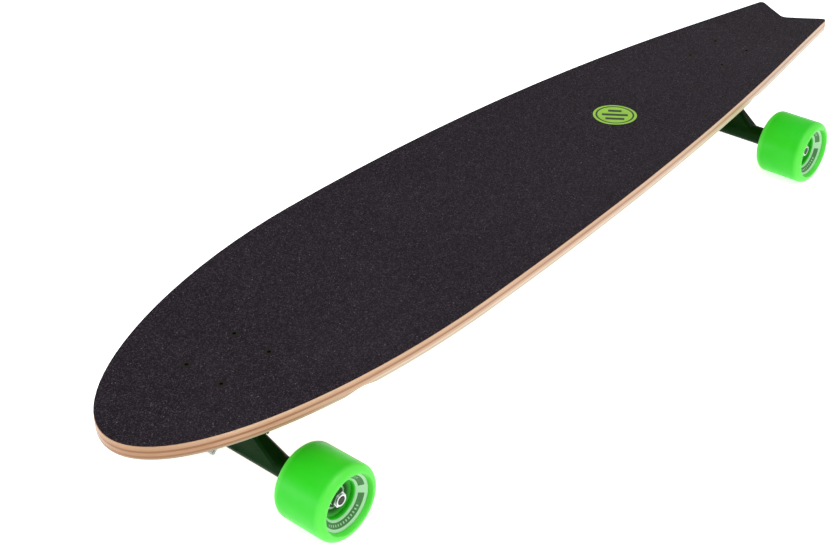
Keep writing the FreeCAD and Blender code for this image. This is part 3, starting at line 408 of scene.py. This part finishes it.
def maple(look):
    """Lacquered maple: long-grain figure, and plies with darker cross plies where the edge shows them; the
    edge also carries painted light on its lower and middle plies and painted shade at the nose.
    """
    recipe = Recipe("maple")
    depth, x = depth_below_top(recipe)
    ply = (depth - GRIP_THICKNESS) / (look.thickness / look.plies)

    figure = recipe.noise(recipe.stretch(recipe.place, (5, 70, 330)), 1.0, 4.0, 0.6)
    fibre = recipe.noise(recipe.stretch(recipe.place, (22, 650, 2400)), 1.0, 3.0, 0.6)
    pores = recipe.noise(recipe.stretch(recipe.place, (60, 1500, 1500)), 1.0, 2.0, 0.5)
    pale = recipe.between(figure, 0.32, 0.68, 0.0, 0.35) + recipe.between(ply, 0.2, 2.8, 0.85, 0.0)
    board = recipe.mix(pale, look.maple, look.pale_maple)
    # The plies show where the wood was cut across, and not on its pressed underside and seats.
    _, _, facing_up = recipe.axes(recipe.node("ShaderNodeNewGeometry", {}, {}, "Normal"))
    cut_across = recipe.between(facing_up, -0.92, -0.70)
    edge_only = recipe.between(ply, look.plies - 0.5, look.plies - 0.1, 1.0, 0.0) * cut_across
    # Painted shade: the edge is darker around the nose than along the sides.
    nose = recipe.between(x, NOSE_START, NOSE_END)
    tip = recipe.between(x, NOSE_END, NOSE_END + NOSE_TIP)
    board = recipe.mix(tip * edge_only * 0.55, board, look.nose_shade)
    # Painted light: the middle plies are lighter along the sides, away from the shaded nose.
    middle = recipe.between(ply, 3.9, 4.4, 0.0, 0.55) * (1 - nose) * edge_only
    board = recipe.mix(middle, board, look.pale_maple)
    # Painted light and shade on the lower plies: pale along the sides, darker at the nose.
    low = recipe.mix(nose, look.lit_low_ply, look.shaded_low_ply_nose)
    lower = recipe.between(ply - nose * 1.4, LIT_LOW_PLIES, LIT_LOW_PLIES + 0.8, 0.0, 0.90) * edge_only
    board = recipe.mix(lower, board, low)
    streak = recipe.between(fibre, 0.52, 0.75, 0.0, 0.30)
    board = recipe.mix(streak, board, look.cross_ply)

    # Two cross plies are the brown lines of the edge; the glue lines between the others are faint. Towards
    # the nose both lines are drawn stronger, adding to the painted shade there.
    first = recipe.between(abs(ply - FIRST_LINE), 0.35, 0.85, 1.0, 0.0) * (0.62 + nose * 0.33)
    second = recipe.between(abs(ply + nose * 0.6 - SECOND_LINE), 0.30, 0.80, 1.0, 0.0)
    second = second * (0.34 + nose * 0.48)
    spread = abs(recipe.node("ShaderNodeMath", {"operation": "FRACT"}, {0: ply + 0.5}) - 0.5)
    glue = recipe.between(spread, 0.03, 0.12, 0.20, 0.0)
    lines = (first + second + glue) * edge_only
    board = recipe.mix(lines, board, look.cross_ply)

    relief = fibre * 0.5 + lines * 0.6 + pores * 0.25
    return recipe.coat_all(
        Base_Color=board,
        Roughness=recipe.between(fibre, 0.3, 0.7, 0.30, 0.44),
        Coat_Weight=look.lacquer,
        Coat_Roughness=0.22,
        Normal=recipe.bump(relief, 0.05 * MM, 0.6),
    )


def grip(look):
    """Black silicon carbide grit: a rough, closely packed grain, with painted highlights as rare bright
    specks that stand in for glints.
    """
    recipe = Recipe("grip")
    cells = {"Vector": recipe.place, "Scale": 1 / look.grain}
    packed = recipe.node("ShaderNodeTexVoronoi", {"feature": "F1"}, cells)
    crystal = recipe.node("ShaderNodeTexVoronoi", {"feature": "F1"}, cells, "Color")
    red, green, _ = recipe.axes(crystal)
    fine = recipe.noise(recipe.place, 2.6 / look.grain, 3.0, 0.7)
    cloud = recipe.noise(recipe.place, 7.0, 3.0, 0.55)
    scuff = recipe.noise(recipe.stretch(recipe.place, (14, 55, 55)), 1.0, 4.0, 0.65)
    trodden = recipe.between(cloud * 0.6 + scuff * 0.4, 0.44, 0.64, 0.0, 0.05)
    facets = red ** 4 * recipe.between(fine, 0.3, 0.6, 0.55, 1.25) + trodden
    paper = recipe.mix(facets, look.paper, look.worn)
    # Painted highlight: rare grit cells are lightened to stand in for glints.
    paper = recipe.mix(recipe.between(green, 0.9970, 0.9985) * 0.9, paper, look.painted_glint)
    return recipe.coat_all(
        Base_Color=paper,
        Roughness=recipe.between(fine, 0.3, 0.7, 0.62, 0.88),
        Specular_IOR_Level=0.12,
        Normal=recipe.bump(fine - packed * 0.8, 0.30 * MM, 0.75),
    )


def badge_print(look):
    """A round badge: yellow-green field, dark ring and three slanted bars."""
    recipe = Recipe("badge_print")
    x, y, _ = recipe.axes(recipe.place)
    radius = look.across / 2
    reach = (x * x + y * y) ** 0.5
    edge = 0.35 * MM
    ring = recipe.between(abs(reach - radius * 0.84), radius * 0.035, radius * 0.035 + edge, 1, 0)
    slant = x * math.cos(0.6) + y * math.sin(0.6)
    climb = y * math.cos(0.6) - x * math.sin(0.6)
    inside = recipe.between(reach, radius * 0.64, radius * 0.64 + edge, 1, 0)
    pitch = radius * 0.40
    bars = None
    for step, reach_up in ((-1, 0.30), (0, 0.58), (1, 0.42)):
        bar = recipe.between(abs(slant - step * pitch), pitch * 0.25, pitch * 0.25 + edge, 1, 0)
        bar = bar * recipe.between(abs(climb), radius * reach_up, radius * reach_up + edge, 1, 0)
        bars = bar if bars is None else bars + bar
    ink = ring + bars * inside
    fine = recipe.noise(recipe.place, 1900.0, 3.0, 0.7)
    scuff = recipe.noise(recipe.place, 90.0, 4.0, 0.6)
    field = recipe.mix(recipe.between(scuff, 0.35, 0.75, 0.0, 0.18), look.field, look.ink)
    return recipe.coat_all(
        Base_Color=recipe.mix(ink, field, look.ink),
        Roughness=recipe.between(fine, 0.3, 0.7, 0.50, 0.72),
        Normal=recipe.bump(fine, 0.10 * MM, 0.6),
    )


def wheel_axes(recipe, centre):
    """Radius from the axle and distance along it from the wheel's middle."""
    x, y, z = recipe.axes(recipe.offset(recipe.place, centre))
    return (x * x + z * z) ** 0.5, y


def urethane(look, name, centre, half_width):
    """Cast urethane: saturated tread, lips lightened with painted light and a painted glow, and painted shade
    deep in the recess.
    """
    recipe = Recipe(f"urethane_{name}")
    reach, across = wheel_axes(recipe, centre)
    out = abs(across)
    # Painted light: the thin lips, and the dish wall next to them, are lightened as if light passed through
    # the urethane.
    lip_light = recipe.between(out, half_width - 9 * MM, half_width - 2 * MM)
    lip_light = lip_light * recipe.between(reach, 24 * MM, 26 * MM)
    deep = recipe.between(reach, 12 * MM, 16.6 * MM, 1.0, 0.25)
    wall = recipe.between(out, half_width - 12 * MM, half_width - 17 * MM) * (reach < 20 * MM)
    haze = recipe.noise(recipe.place, 38.0, 2.0, 0.5)
    body = recipe.mix(lip_light * 0.85, look.urethane, look.lip_light)
    body = recipe.mix(recipe.between(haze, 0.35, 0.7, 0.0, 0.12), body, look.lip_light)
    # Painted shade: the recess wall and the hub around the bearings are darkened.
    body = recipe.mix(wall * 0.40, body, look.core)
    body = recipe.mix(deep, body, look.core)
    turned = recipe.noise(recipe.stretch(recipe.place, (30, 900, 30)), 1.0, 2.0, 0.5)
    dust = recipe.noise(recipe.place, 260.0, 3.0, 0.6)
    tread = recipe.between(out, half_width - 6 * MM, half_width - 9 * MM)
    return recipe.coat_all(
        Base_Color=body,
        Roughness=recipe.between(dust, 0.3, 0.7, 0.22, 0.30) + deep * 0.4,
        Subsurface_Weight=0.22,
        Subsurface_Radius=(0.25, 1.0, 0.2),
        Subsurface_Scale=6 * MM,
        Specular_IOR_Level=0.25,
        # Painted glow: the lips give off light though they are no lamp.
        Emission_Color=recipe.mix(lip_light, (0, 0, 0), look.lip_light),
        Emission_Strength=look.glow,
        Normal=recipe.bump(turned * tread + dust * 0.3, 0.03 * MM, 0.5),
    )


def face_print(look, name):
    """The printed band of a wheel's face: pale paper, two dark arcs and a row of dashes in each."""
    recipe = Recipe(f"face_print_{name}")
    x, _, z = recipe.axes(recipe.place)
    reach = (x * x + z * z) ** 0.5
    turn = recipe.node("ShaderNodeMath", {"operation": "ARCTAN2"}, {0: z, 1: x})
    span = look.print_outer - look.print_inner
    soft = 0.15 * MM
    middle = look.print_inner + span * 0.48
    off = abs(reach - middle)
    band = recipe.between(off, span * 0.25, span * 0.25 + soft, 1, 0)
    # Plain gaps part the inked band into two arcs, and each arc carries a row of plain dashes.
    share_of_half = recipe.node("ShaderNodeMath", {"operation": "FRACT"}, {0: turn / math.pi + 0.987})
    from_middle = abs(share_of_half - 0.5)
    opening = recipe.between(from_middle, 0.440, 0.447, 1, 0)
    dashes = (turn * 44.0).wave() > 0.35
    dashes = dashes * recipe.between(off, span * 0.085, span * 0.085 + soft, 1, 0)
    dashes = dashes * (from_middle < 0.30)
    ink = band * opening * (1 - dashes * 0.8)
    wear = recipe.noise(recipe.place, 420.0, 4.0, 0.6)
    tone = recipe.mix(ink, look.print_paper, look.print_ink)
    tone = recipe.mix(recipe.between(wear, 0.5, 0.8, 0.0, 0.35), tone, look.urethane)
    return recipe.coat_all(
        Base_Color=tone, Roughness=recipe.between(wear, 0.3, 0.7, 0.34, 0.46), Specular_IOR_Level=0.4
    )


def paint(look):
    """Dark green gloss paint over a slightly wavy casting."""
    recipe = Recipe("truck_paint")
    cast = recipe.noise(recipe.place, 95.0, 3.0, 0.5)
    speck = recipe.noise(recipe.place, 900.0, 2.0, 0.6)
    tone = recipe.mix(recipe.between(cast, 0.35, 0.7, 0.0, 0.5), look.paint, look.paint_thin)
    return recipe.coat_all(
        Base_Color=tone,
        Roughness=recipe.between(speck, 0.3, 0.7, 0.26, 0.38),
        Specular_IOR_Level=0.05,
        Normal=recipe.bump(cast + speck * 0.25, 0.10 * MM, 0.6),
    )


def metal(name, tint, rough, lay=(1, 1, 1), grain=1500.0, bare=1.0, shine=0.5):
    """Bare or plated steel with fine machining marks and faint stains."""
    recipe = Recipe(name)
    marks = recipe.noise(recipe.stretch(recipe.place, lay), grain, 3.0, 0.6)
    stain = recipe.noise(recipe.place, 160.0, 3.0, 0.6)
    dull = tuple(part * 0.72 for part in tint)
    return recipe.coat_all(
        Base_Color=recipe.mix(recipe.between(stain, 0.4, 0.75, 0.0, 0.7), tint, dull),
        Metallic=bare,
        Specular_IOR_Level=shine,
        Roughness=recipe.between(marks + stain * 0.5, 0.4, 1.1, rough * 0.75, rough * 1.35),
        Normal=recipe.bump(marks, 0.02 * MM, 0.5),
    )


def moulded(name, tint, rough, texture=700.0):
    """Moulded rubber or plastic with a fine matt texture."""
    recipe = Recipe(name)
    fine = recipe.noise(recipe.place, texture, 3.0, 0.6)
    bloom = recipe.noise(recipe.place, 60.0, 3.0, 0.5)
    pale = tuple(part * 1.6 + 0.004 for part in tint)
    return recipe.coat_all(
        Base_Color=recipe.mix(recipe.between(bloom, 0.4, 0.7, 0.0, 0.6), tint, pale),
        Roughness=recipe.between(fine, 0.3, 0.7, rough * 0.85, rough * 1.15),
        Normal=recipe.bump(fine, 0.05 * MM, 0.5),
    )


# ---------------------------------------------------------------- pieces


def piece_of(name, mesh, material, body, place=None):
    """A new piece at its place, riding on a body and finished with the given material."""
    made = bpy.data.objects.new(name, mesh)
    bpy.context.scene.collection.objects.link(made)
    made.matrix_world = place or Matrix.Identity(4)
    mesh.materials.append(material)
    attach(made, body)
    return made


def mesh_from(shape, name, smooth=True):
    """A mesh out of a finished bmesh, with its faces turned outwards."""
    bmesh.ops.recalc_face_normals(shape, faces=shape.faces[:])
    mesh = bpy.data.meshes.new(name)
    shape.to_mesh(mesh)
    shape.free()
    for face in mesh.polygons:
        face.use_smooth = smooth
    return mesh


def skin(rows):
    """A bmesh stretched over rows of points; each row closes on itself."""
    shape = bmesh.new()
    grid = [[shape.verts.new(point) for point in row] for row in rows]
    for first, second in zip(grid, grid[1:]):
        for step in range(len(first)):
            after = (step + 1) % len(first)
            shape.faces.new((first[step], first[after], second[after], second[step]))
    return shape


def deck_mesh(look):
    """The pressed deck at its full thickness: flat seats stay at the trucks and the rest reaches lower."""
    shape = bmesh.new()
    shape.from_mesh(NODES["deck"].data)
    bmesh.ops.remove_doubles(shape, verts=shape.verts[:], dist=JOIN)

    def depth(vert):
        return top_height(vert.co.x, vert.co.y) - vert.co.z

    lowest = max(depth(vert) for vert in shape.verts)
    middle = lowest / 2
    # Long facets of the underside are divided, so that its seats blend in evenly.
    for _ in range(5):
        long = [
            edge for edge in shape.edges
            if edge.calc_length() > 16 * MM and all(depth(vert) > middle for vert in edge.verts)
        ]
        bmesh.ops.subdivide_edges(shape, edges=long, cuts=1)
        bmesh.ops.triangulate(shape, faces=shape.faces[:])
    drop = look.thickness - (lowest - GRIP_THICKNESS)
    seats = [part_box(f"{end}_riser_pad") for end in ENDS]
    for vert in shape.verts:
        if depth(vert) > middle:
            vert.co.z -= drop * min(beyond_seat(vert.co, seat) for seat in seats)
    return mesh_from(shape, "pressed_deck")


def beyond_seat(point, seat, start=4 * MM, end=34 * MM):
    """Share from 0 on a truck's seat to 1 clear of it."""
    low, high = seat
    ahead = max(low.x - point.x, point.x - high.x, 0)
    aside = max(low.y - point.y, point.y - high.y, 0)
    share_out = min(max((math.hypot(ahead, aside) - start) / (end - start), 0), 1)
    return share_out * share_out * (3 - 2 * share_out)


def badge_mesh(look):
    """A thin disc that follows the pressed deck, with a rounded rim."""
    radius, turns, face = look.across / 2, 96, 0.15
    rings = []
    profile = [(1.0, -0.30), (1.0, 0.06), (0.996, 0.11), (0.985, 0.14)]
    profile += [(part / 12, face) for part in range(11, 0, -1)]
    centre = top_height(look.ahead, look.aside)
    for share_out, lift in profile:
        row = []
        for step in range(turns):
            angle = 2 * math.pi * step / turns
            x, y = radius * share_out * math.cos(angle), radius * share_out * math.sin(angle)
            height = top_height(look.ahead + x, look.aside + y) - centre
            row.append((x, y, height + lift * MM))
        rings.append(row)
    shape = skin(rings)
    shape.verts.ensure_lookup_table()
    inner = list(shape.verts)[-turns:]
    middle = shape.verts.new((0, 0, face * MM))
    for step in range(turns):
        shape.faces.new((inner[step], inner[(step + 1) % turns], middle))
    return mesh_from(shape, "badge")


def wheel_centre(name):
    low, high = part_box(f"{name}_wheel")
    return (low + high) / 2, (high.y - low.y) / 2


def face_profile(name, radii):
    """How far out the wheel's outer face stands at each radius, from the wheel's own surface."""
    centre, half_width = wheel_centre(name)
    side = 1 if centre.y > 0 else -1
    mesh = NODES[f"{name}_wheel"].data
    tree = BVHTree.FromPolygons(
        [vert.co for vert in mesh.vertices], [face.vertices[:] for face in mesh.polygons]
    )
    found = []
    for reach in radii:
        start = centre + Vector((reach * 0.6, side * 0.1, reach * 0.8))
        hit = tree.ray_cast(start, Vector((0, -side, 0)))[0]
        found.append((hit.y - centre.y) * side)
    return centre, side, found


def print_mesh(look, name):
    """A thin printed band laid on the wheel's dished face."""
    radii = [look.print_inner + (look.print_outer - look.print_inner) * k / 14 for k in range(15)]
    centre, side, heights = face_profile(name, radii)
    film, tuck, turns = 0.10 * MM, 0.25 * MM, 128
    rows = [(radii[0], heights[0] - tuck)]
    rows += [(reach, height + film) for reach, height in zip(radii, heights)]
    rows += [(radii[-1], heights[-1] - tuck)]
    angles = [2 * math.pi * step / turns for step in range(turns)]
    points = [
        [(reach * math.cos(angle), side * height, reach * math.sin(angle)) for angle in angles]
        for reach, height in rows
    ]
    return mesh_from(skin(points), f"{name}_print"), centre


def thread_mesh(name, root, crest, pitch, span):
    """A helical thread of that span about Z, starting at Z = 0, with tapering ends."""
    round_steps, taper_steps, sunk = 36, 10, root - 0.2 * MM
    steps = int(span / pitch * round_steps)
    rows = []
    for step in range(steps + 1):
        angle = 2 * math.pi * step / round_steps
        height = span * step / steps
        fade = min(1.0, step / taper_steps, (steps - step) / taper_steps)
        top = root + (crest - root) * fade
        section = [(sunk, -0.46), (root, -0.44), (top, -0.07), (top, 0.07), (root, 0.44), (sunk, 0.46)]
        rows.append(
            [
                (reach * math.cos(angle), reach * math.sin(angle), height + rise * pitch * 0.98)
                for reach, rise in section
            ]
        )
    shape = skin(rows)
    shape.verts.ensure_lookup_table()
    count = len(rows[0])
    shape.faces.new(list(shape.verts)[:count])
    shape.faces.new(list(shape.verts)[-count:])
    return mesh_from(shape, name, smooth=False)


def furthest(name, anchor, direction):
    """How far a node reaches from an anchor in a direction."""
    return max((vert.co - anchor).dot(direction) for vert in NODES[name].data.vertices)


# ---------------------------------------------------------------- operators


class LONGBOARD_OT_deck(Operator):
    """Finish the pressed maple deck"""

    bl_idname = "longboard.deck"
    bl_label = "Maple Deck"

    def execute(self, context):
        look = context.scene.longboard_deck
        deck = piece_of("pressed_deck", deck_mesh(look), maple(look), "board")
        smooth_over(deck)
        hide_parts("deck")
        return {"FINISHED"}


class LONGBOARD_OT_grip(Operator):
    """Finish the grip tape"""

    bl_idname = "longboard.grip"
    bl_label = "Grip Tape"

    def execute(self, context):
        finish_node("grip_tape", grip(context.scene.longboard_grip))
        return {"FINISHED"}


class LONGBOARD_OT_badge(Operator):
    """Lay the round badge on the grip tape"""

    bl_idname = "longboard.badge"
    bl_label = "Badge"

    def execute(self, context):
        look = context.scene.longboard_badge
        height = top_height(look.ahead, look.aside)
        place = Matrix.Translation((look.ahead, look.aside, height))
        piece_of("grip_badge", badge_mesh(look), badge_print(look), "board", place)
        return {"FINISHED"}


class LONGBOARD_OT_wheels(Operator):
    """Finish the urethane wheels"""

    bl_idname = "longboard.wheels"
    bl_label = "Wheels"

    def execute(self, context):
        for name in WHEELS:
            centre, half_width = wheel_centre(name)
            material = urethane(context.scene.longboard_wheel, name, centre, half_width)
            finish_node(f"{name}_wheel", material)
        return {"FINISHED"}


class LONGBOARD_OT_prints(Operator):
    """Lay the printed bands on the wheels' faces"""

    bl_idname = "longboard.prints"
    bl_label = "Wheel Prints"

    def execute(self, context):
        look = context.scene.longboard_wheel
        for name in WHEELS:
            mesh, centre = print_mesh(look, name)
            body = f"{name}_wheel"
            place = Matrix.Translation(centre)
            piece_of(f"{name}_print", mesh, face_print(look, name), body, place)
        return {"FINISHED"}


class LONGBOARD_OT_bearings(Operator):
    """Finish races, seals, spacers and washers"""

    bl_idname = "longboard.bearings"
    bl_label = "Bearings"

    def execute(self, context):
        look = context.scene.longboard_metal
        race = metal("bearing_steel", look.bright, 0.16, grain=900.0)
        zinc = metal("washer_zinc", look.zinc, 0.26)
        seal = moulded("bearing_seal", context.scene.longboard_rubber.seal, 0.42)
        for name in WHEELS:
            finish_node(f"{name}_outer_races", race)
            finish_node(f"{name}_inner_races", race)
            finish_node(f"{name}_bearing_shields", seal)
            finish_node(f"{name}_spacer", race)
            finish_node(f"{name}_speed_washers", zinc)
        return {"FINISHED"}


class LONGBOARD_OT_trucks(Operator):
    """Paint the hangers and baseplates"""

    bl_idname = "longboard.trucks"
    bl_label = "Truck Castings"

    def execute(self, context):
        look = context.scene.longboard_metal
        material = paint(look)
        for end in ENDS:
            finish_node(f"{end}_hanger", material, look.broken_edge)
            finish_node(f"{end}_baseplate", material, look.broken_edge)
        return {"FINISHED"}


class LONGBOARD_OT_hardware(Operator):
    """Finish kingpins, axles, nuts, washers and deck bolts"""

    bl_idname = "longboard.hardware"
    bl_label = "Hardware"

    def execute(self, context):
        look = context.scene.longboard_metal
        zinc = metal("zinc_steel", look.zinc, 0.24)
        axle = metal("axle_steel", look.axle, 0.35, (1, 0.1, 1))
        black = metal("black_steel", look.blackened, 0.6, bare=0.0, shine=0.12)
        for end in ENDS:
            for part in ("kingpin", "kingpin_nut", "boardside_washer", "roadside_washer"):
                finish_node(f"{end}_{part}", zinc)
            finish_node(f"{end}_mounting_nuts", zinc)
            finish_node(f"{end}_mounting_bolts", black)
            finish_node(f"{end}_axle", axle)
            for side in SIDES:
                finish_node(f"{end}_{side}_axle_nut", zinc)
        return {"FINISHED"}


class LONGBOARD_OT_threads(Operator):
    """Cut the threads that show on the kingpins"""

    bl_idname = "longboard.threads"
    bl_label = "Threads"

    def execute(self, context):
        look = context.scene.longboard_metal
        steel = metal("thread_steel", look.zinc, 0.22)
        for end in ENDS:
            self.kingpin_thread(end, look, steel)
        return {"FINISHED"}

    def kingpin_thread(self, end, look, steel):
        """The thread that stands out of the lock nut."""
        joint = next(j for j in frame["joints"] if j["name"] == f"{end}_steer")
        axis = Vector(joint["axis"]).normalized()
        roadward = Vector((axis.z, 0, -axis.x)) * (1 if end == "front" else -1)
        anchor = Vector(joint["pos_m"])
        pin = furthest(f"{end}_kingpin", anchor, roadward)
        nut = furthest(f"{end}_kingpin_nut", anchor, roadward)
        root, crest, gap, plain_end = 4.62 * MM, 4.98 * MM, 0.35 * MM, 0.75 * MM
        span = pin - nut - gap - plain_end
        mesh = thread_mesh(f"{end}_kingpin_thread", root, crest, look.kingpin_pitch, span)
        start = anchor + roadward * (nut + gap)
        place = Matrix.Translation(start) @ roadward.to_track_quat("Z", "Y").to_matrix().to_4x4()
        piece_of(f"{end}_kingpin_thread", mesh, steel, "board", place)


class LONGBOARD_OT_rubber(Operator):
    """Finish bushings, pivot cups and riser pads"""

    bl_idname = "longboard.rubber"
    bl_label = "Rubber Parts"

    def execute(self, context):
        look = context.scene.longboard_rubber
        bushing = moulded("bushing", look.bushing, 0.38, 500.0)
        cup = moulded("pivot_cup", look.cup, 0.5)
        riser = moulded("riser", look.riser, 0.6)
        for end in ENDS:
            finish_node(f"{end}_boardside_bushing", bushing)
            finish_node(f"{end}_roadside_bushing", bushing)
            finish_node(f"{end}_pivot_cup", cup)
            finish_node(f"{end}_riser_pad", riser)
        return {"FINISHED"}


class LONGBOARD_OT_stage(Operator):
    """Set up the floor, the lights and the camera"""

    bl_idname = "longboard.stage"
    bl_label = "Stage"

    def execute(self, context):
        look = context.scene.longboard_stage
        self.floor(look)
        self.lights(context.scene, look)
        self.camera(context.scene, look)
        return {"FINISHED"}

    def floor(self, look):
        recipe = Recipe("floor")
        mottle = recipe.noise(recipe.place, 3.0, 2.0, 0.5)
        worn = tuple(part * 0.985 for part in look.floor)
        tone = recipe.mix(recipe.between(mottle, 0.3, 0.7), look.floor, worn)
        material = recipe.coat_all(
            Base_Color=tone,
            Roughness=0.6,
            Specular_IOR_Level=0.2,
            Emission_Color=tone,
            Emission_Strength=look.glow,
        )
        shape = bmesh.new()
        bmesh.ops.create_grid(shape, x_segments=8, y_segments=8, size=12)
        mesh = mesh_from(shape, "floor")
        mesh.materials.append(material)
        floor = bpy.data.objects.new("floor", mesh)
        bpy.context.scene.collection.objects.link(floor)

    def lights(self, scene, look):
        world = bpy.data.worlds.new("studio")
        world.use_nodes = True
        background = world.node_tree.nodes["Background"]
        background.inputs["Color"].default_value = (1, 1, 1, 1)
        background.inputs["Strength"].default_value = look.sky
        scene.world = world
        for name, power, wide, high, place in (
            ("key", look.key, 1.6, 1.6, (0.5, 0.5, 2.2)),
            ("rim", look.rim, 1.1, 0.46, (1.64, -0.74, 0.25)),
        ):
            light = bpy.data.lights.new(name, "AREA")
            light.energy = power
            light.shape = "RECTANGLE"
            light.size, light.size_y = wide, high
            lamp = bpy.data.objects.new(name, light)
            lamp.visible_camera = False
            lamp.location = place
            aim = Vector((0, 0, 0.08)) - Vector(place)
            lamp.rotation_euler = aim.to_track_quat("-Z", "Y").to_euler()
            scene.collection.objects.link(lamp)

    def camera(self, scene, look):
        flat = math.cos(look.height)
        back = Vector(
            (math.cos(look.bearing) * flat, math.sin(look.bearing) * flat, math.sin(look.height))
        )
        camera = bpy.data.objects.new("camera", bpy.data.cameras.new("camera"))
        camera.data.lens = look.lens
        camera.data.sensor_width = 36
        camera.data.clip_start, camera.data.clip_end = 0.05, 50
        camera.location = Vector(look.aim) + back * look.distance
        level = (-back).to_track_quat("-Z", "Y").to_matrix().to_4x4()
        turned = level @ Matrix.Rotation(-look.roll, 4, "Z")
        camera.rotation_euler = turned.to_euler()
        scene.collection.objects.link(camera)
        scene.camera = camera
        scene.view_settings.view_transform = "Standard"


# ---------------------------------------------------------------- panel and registration


OPERATORS = (
    LONGBOARD_OT_deck,
    LONGBOARD_OT_grip,
    LONGBOARD_OT_badge,
    LONGBOARD_OT_wheels,
    LONGBOARD_OT_prints,
    LONGBOARD_OT_bearings,
    LONGBOARD_OT_trucks,
    LONGBOARD_OT_hardware,
    LONGBOARD_OT_threads,
    LONGBOARD_OT_rubber,
    LONGBOARD_OT_stage,
)


class LONGBOARD_PT_panel(Panel):
    """Sizes, colours and build steps of the longboard"""

    bl_idname = "LONGBOARD_PT_panel"
    bl_label = "Longboard"
    bl_space_type = "VIEW_3D"
    bl_region_type = "UI"
    bl_category = "Longboard"

    def draw(self, context):
        for operator in OPERATORS:
            self.layout.operator(operator.bl_idname)
        for name, look in LOOKS.items():
            column = self.layout.column(heading=name.replace("longboard_", "").title())
            for field in look.__annotations__:
                column.prop(getattr(context.scene, name), field)


def register():
    for group in LOOKS.values():
        bpy.utils.register_class(group)
    for operator in OPERATORS:
        bpy.utils.register_class(operator)
    bpy.utils.register_class(LONGBOARD_PT_panel)
    for name, group in LOOKS.items():
        setattr(bpy.types.Scene, name, PointerProperty(type=group))


def unregister():
    for name in LOOKS:
        delattr(bpy.types.Scene, name)
    bpy.utils.unregister_class(LONGBOARD_PT_panel)
    for operator in reversed(OPERATORS):
        bpy.utils.unregister_class(operator)
    for group in reversed(list(LOOKS.values())):
        bpy.utils.unregister_class(group)


def main():
    register()
    bpy.ops.longboard.deck()
    bpy.ops.longboard.grip()
    bpy.ops.longboard.badge()
    bpy.ops.longboard.wheels()
    bpy.ops.longboard.prints()
    bpy.ops.longboard.bearings()
    bpy.ops.longboard.trucks()
    bpy.ops.longboard.hardware()
    bpy.ops.longboard.threads()
    bpy.ops.longboard.rubber()
    bpy.ops.longboard.stage()


if __name__ == "__main__":
    main()
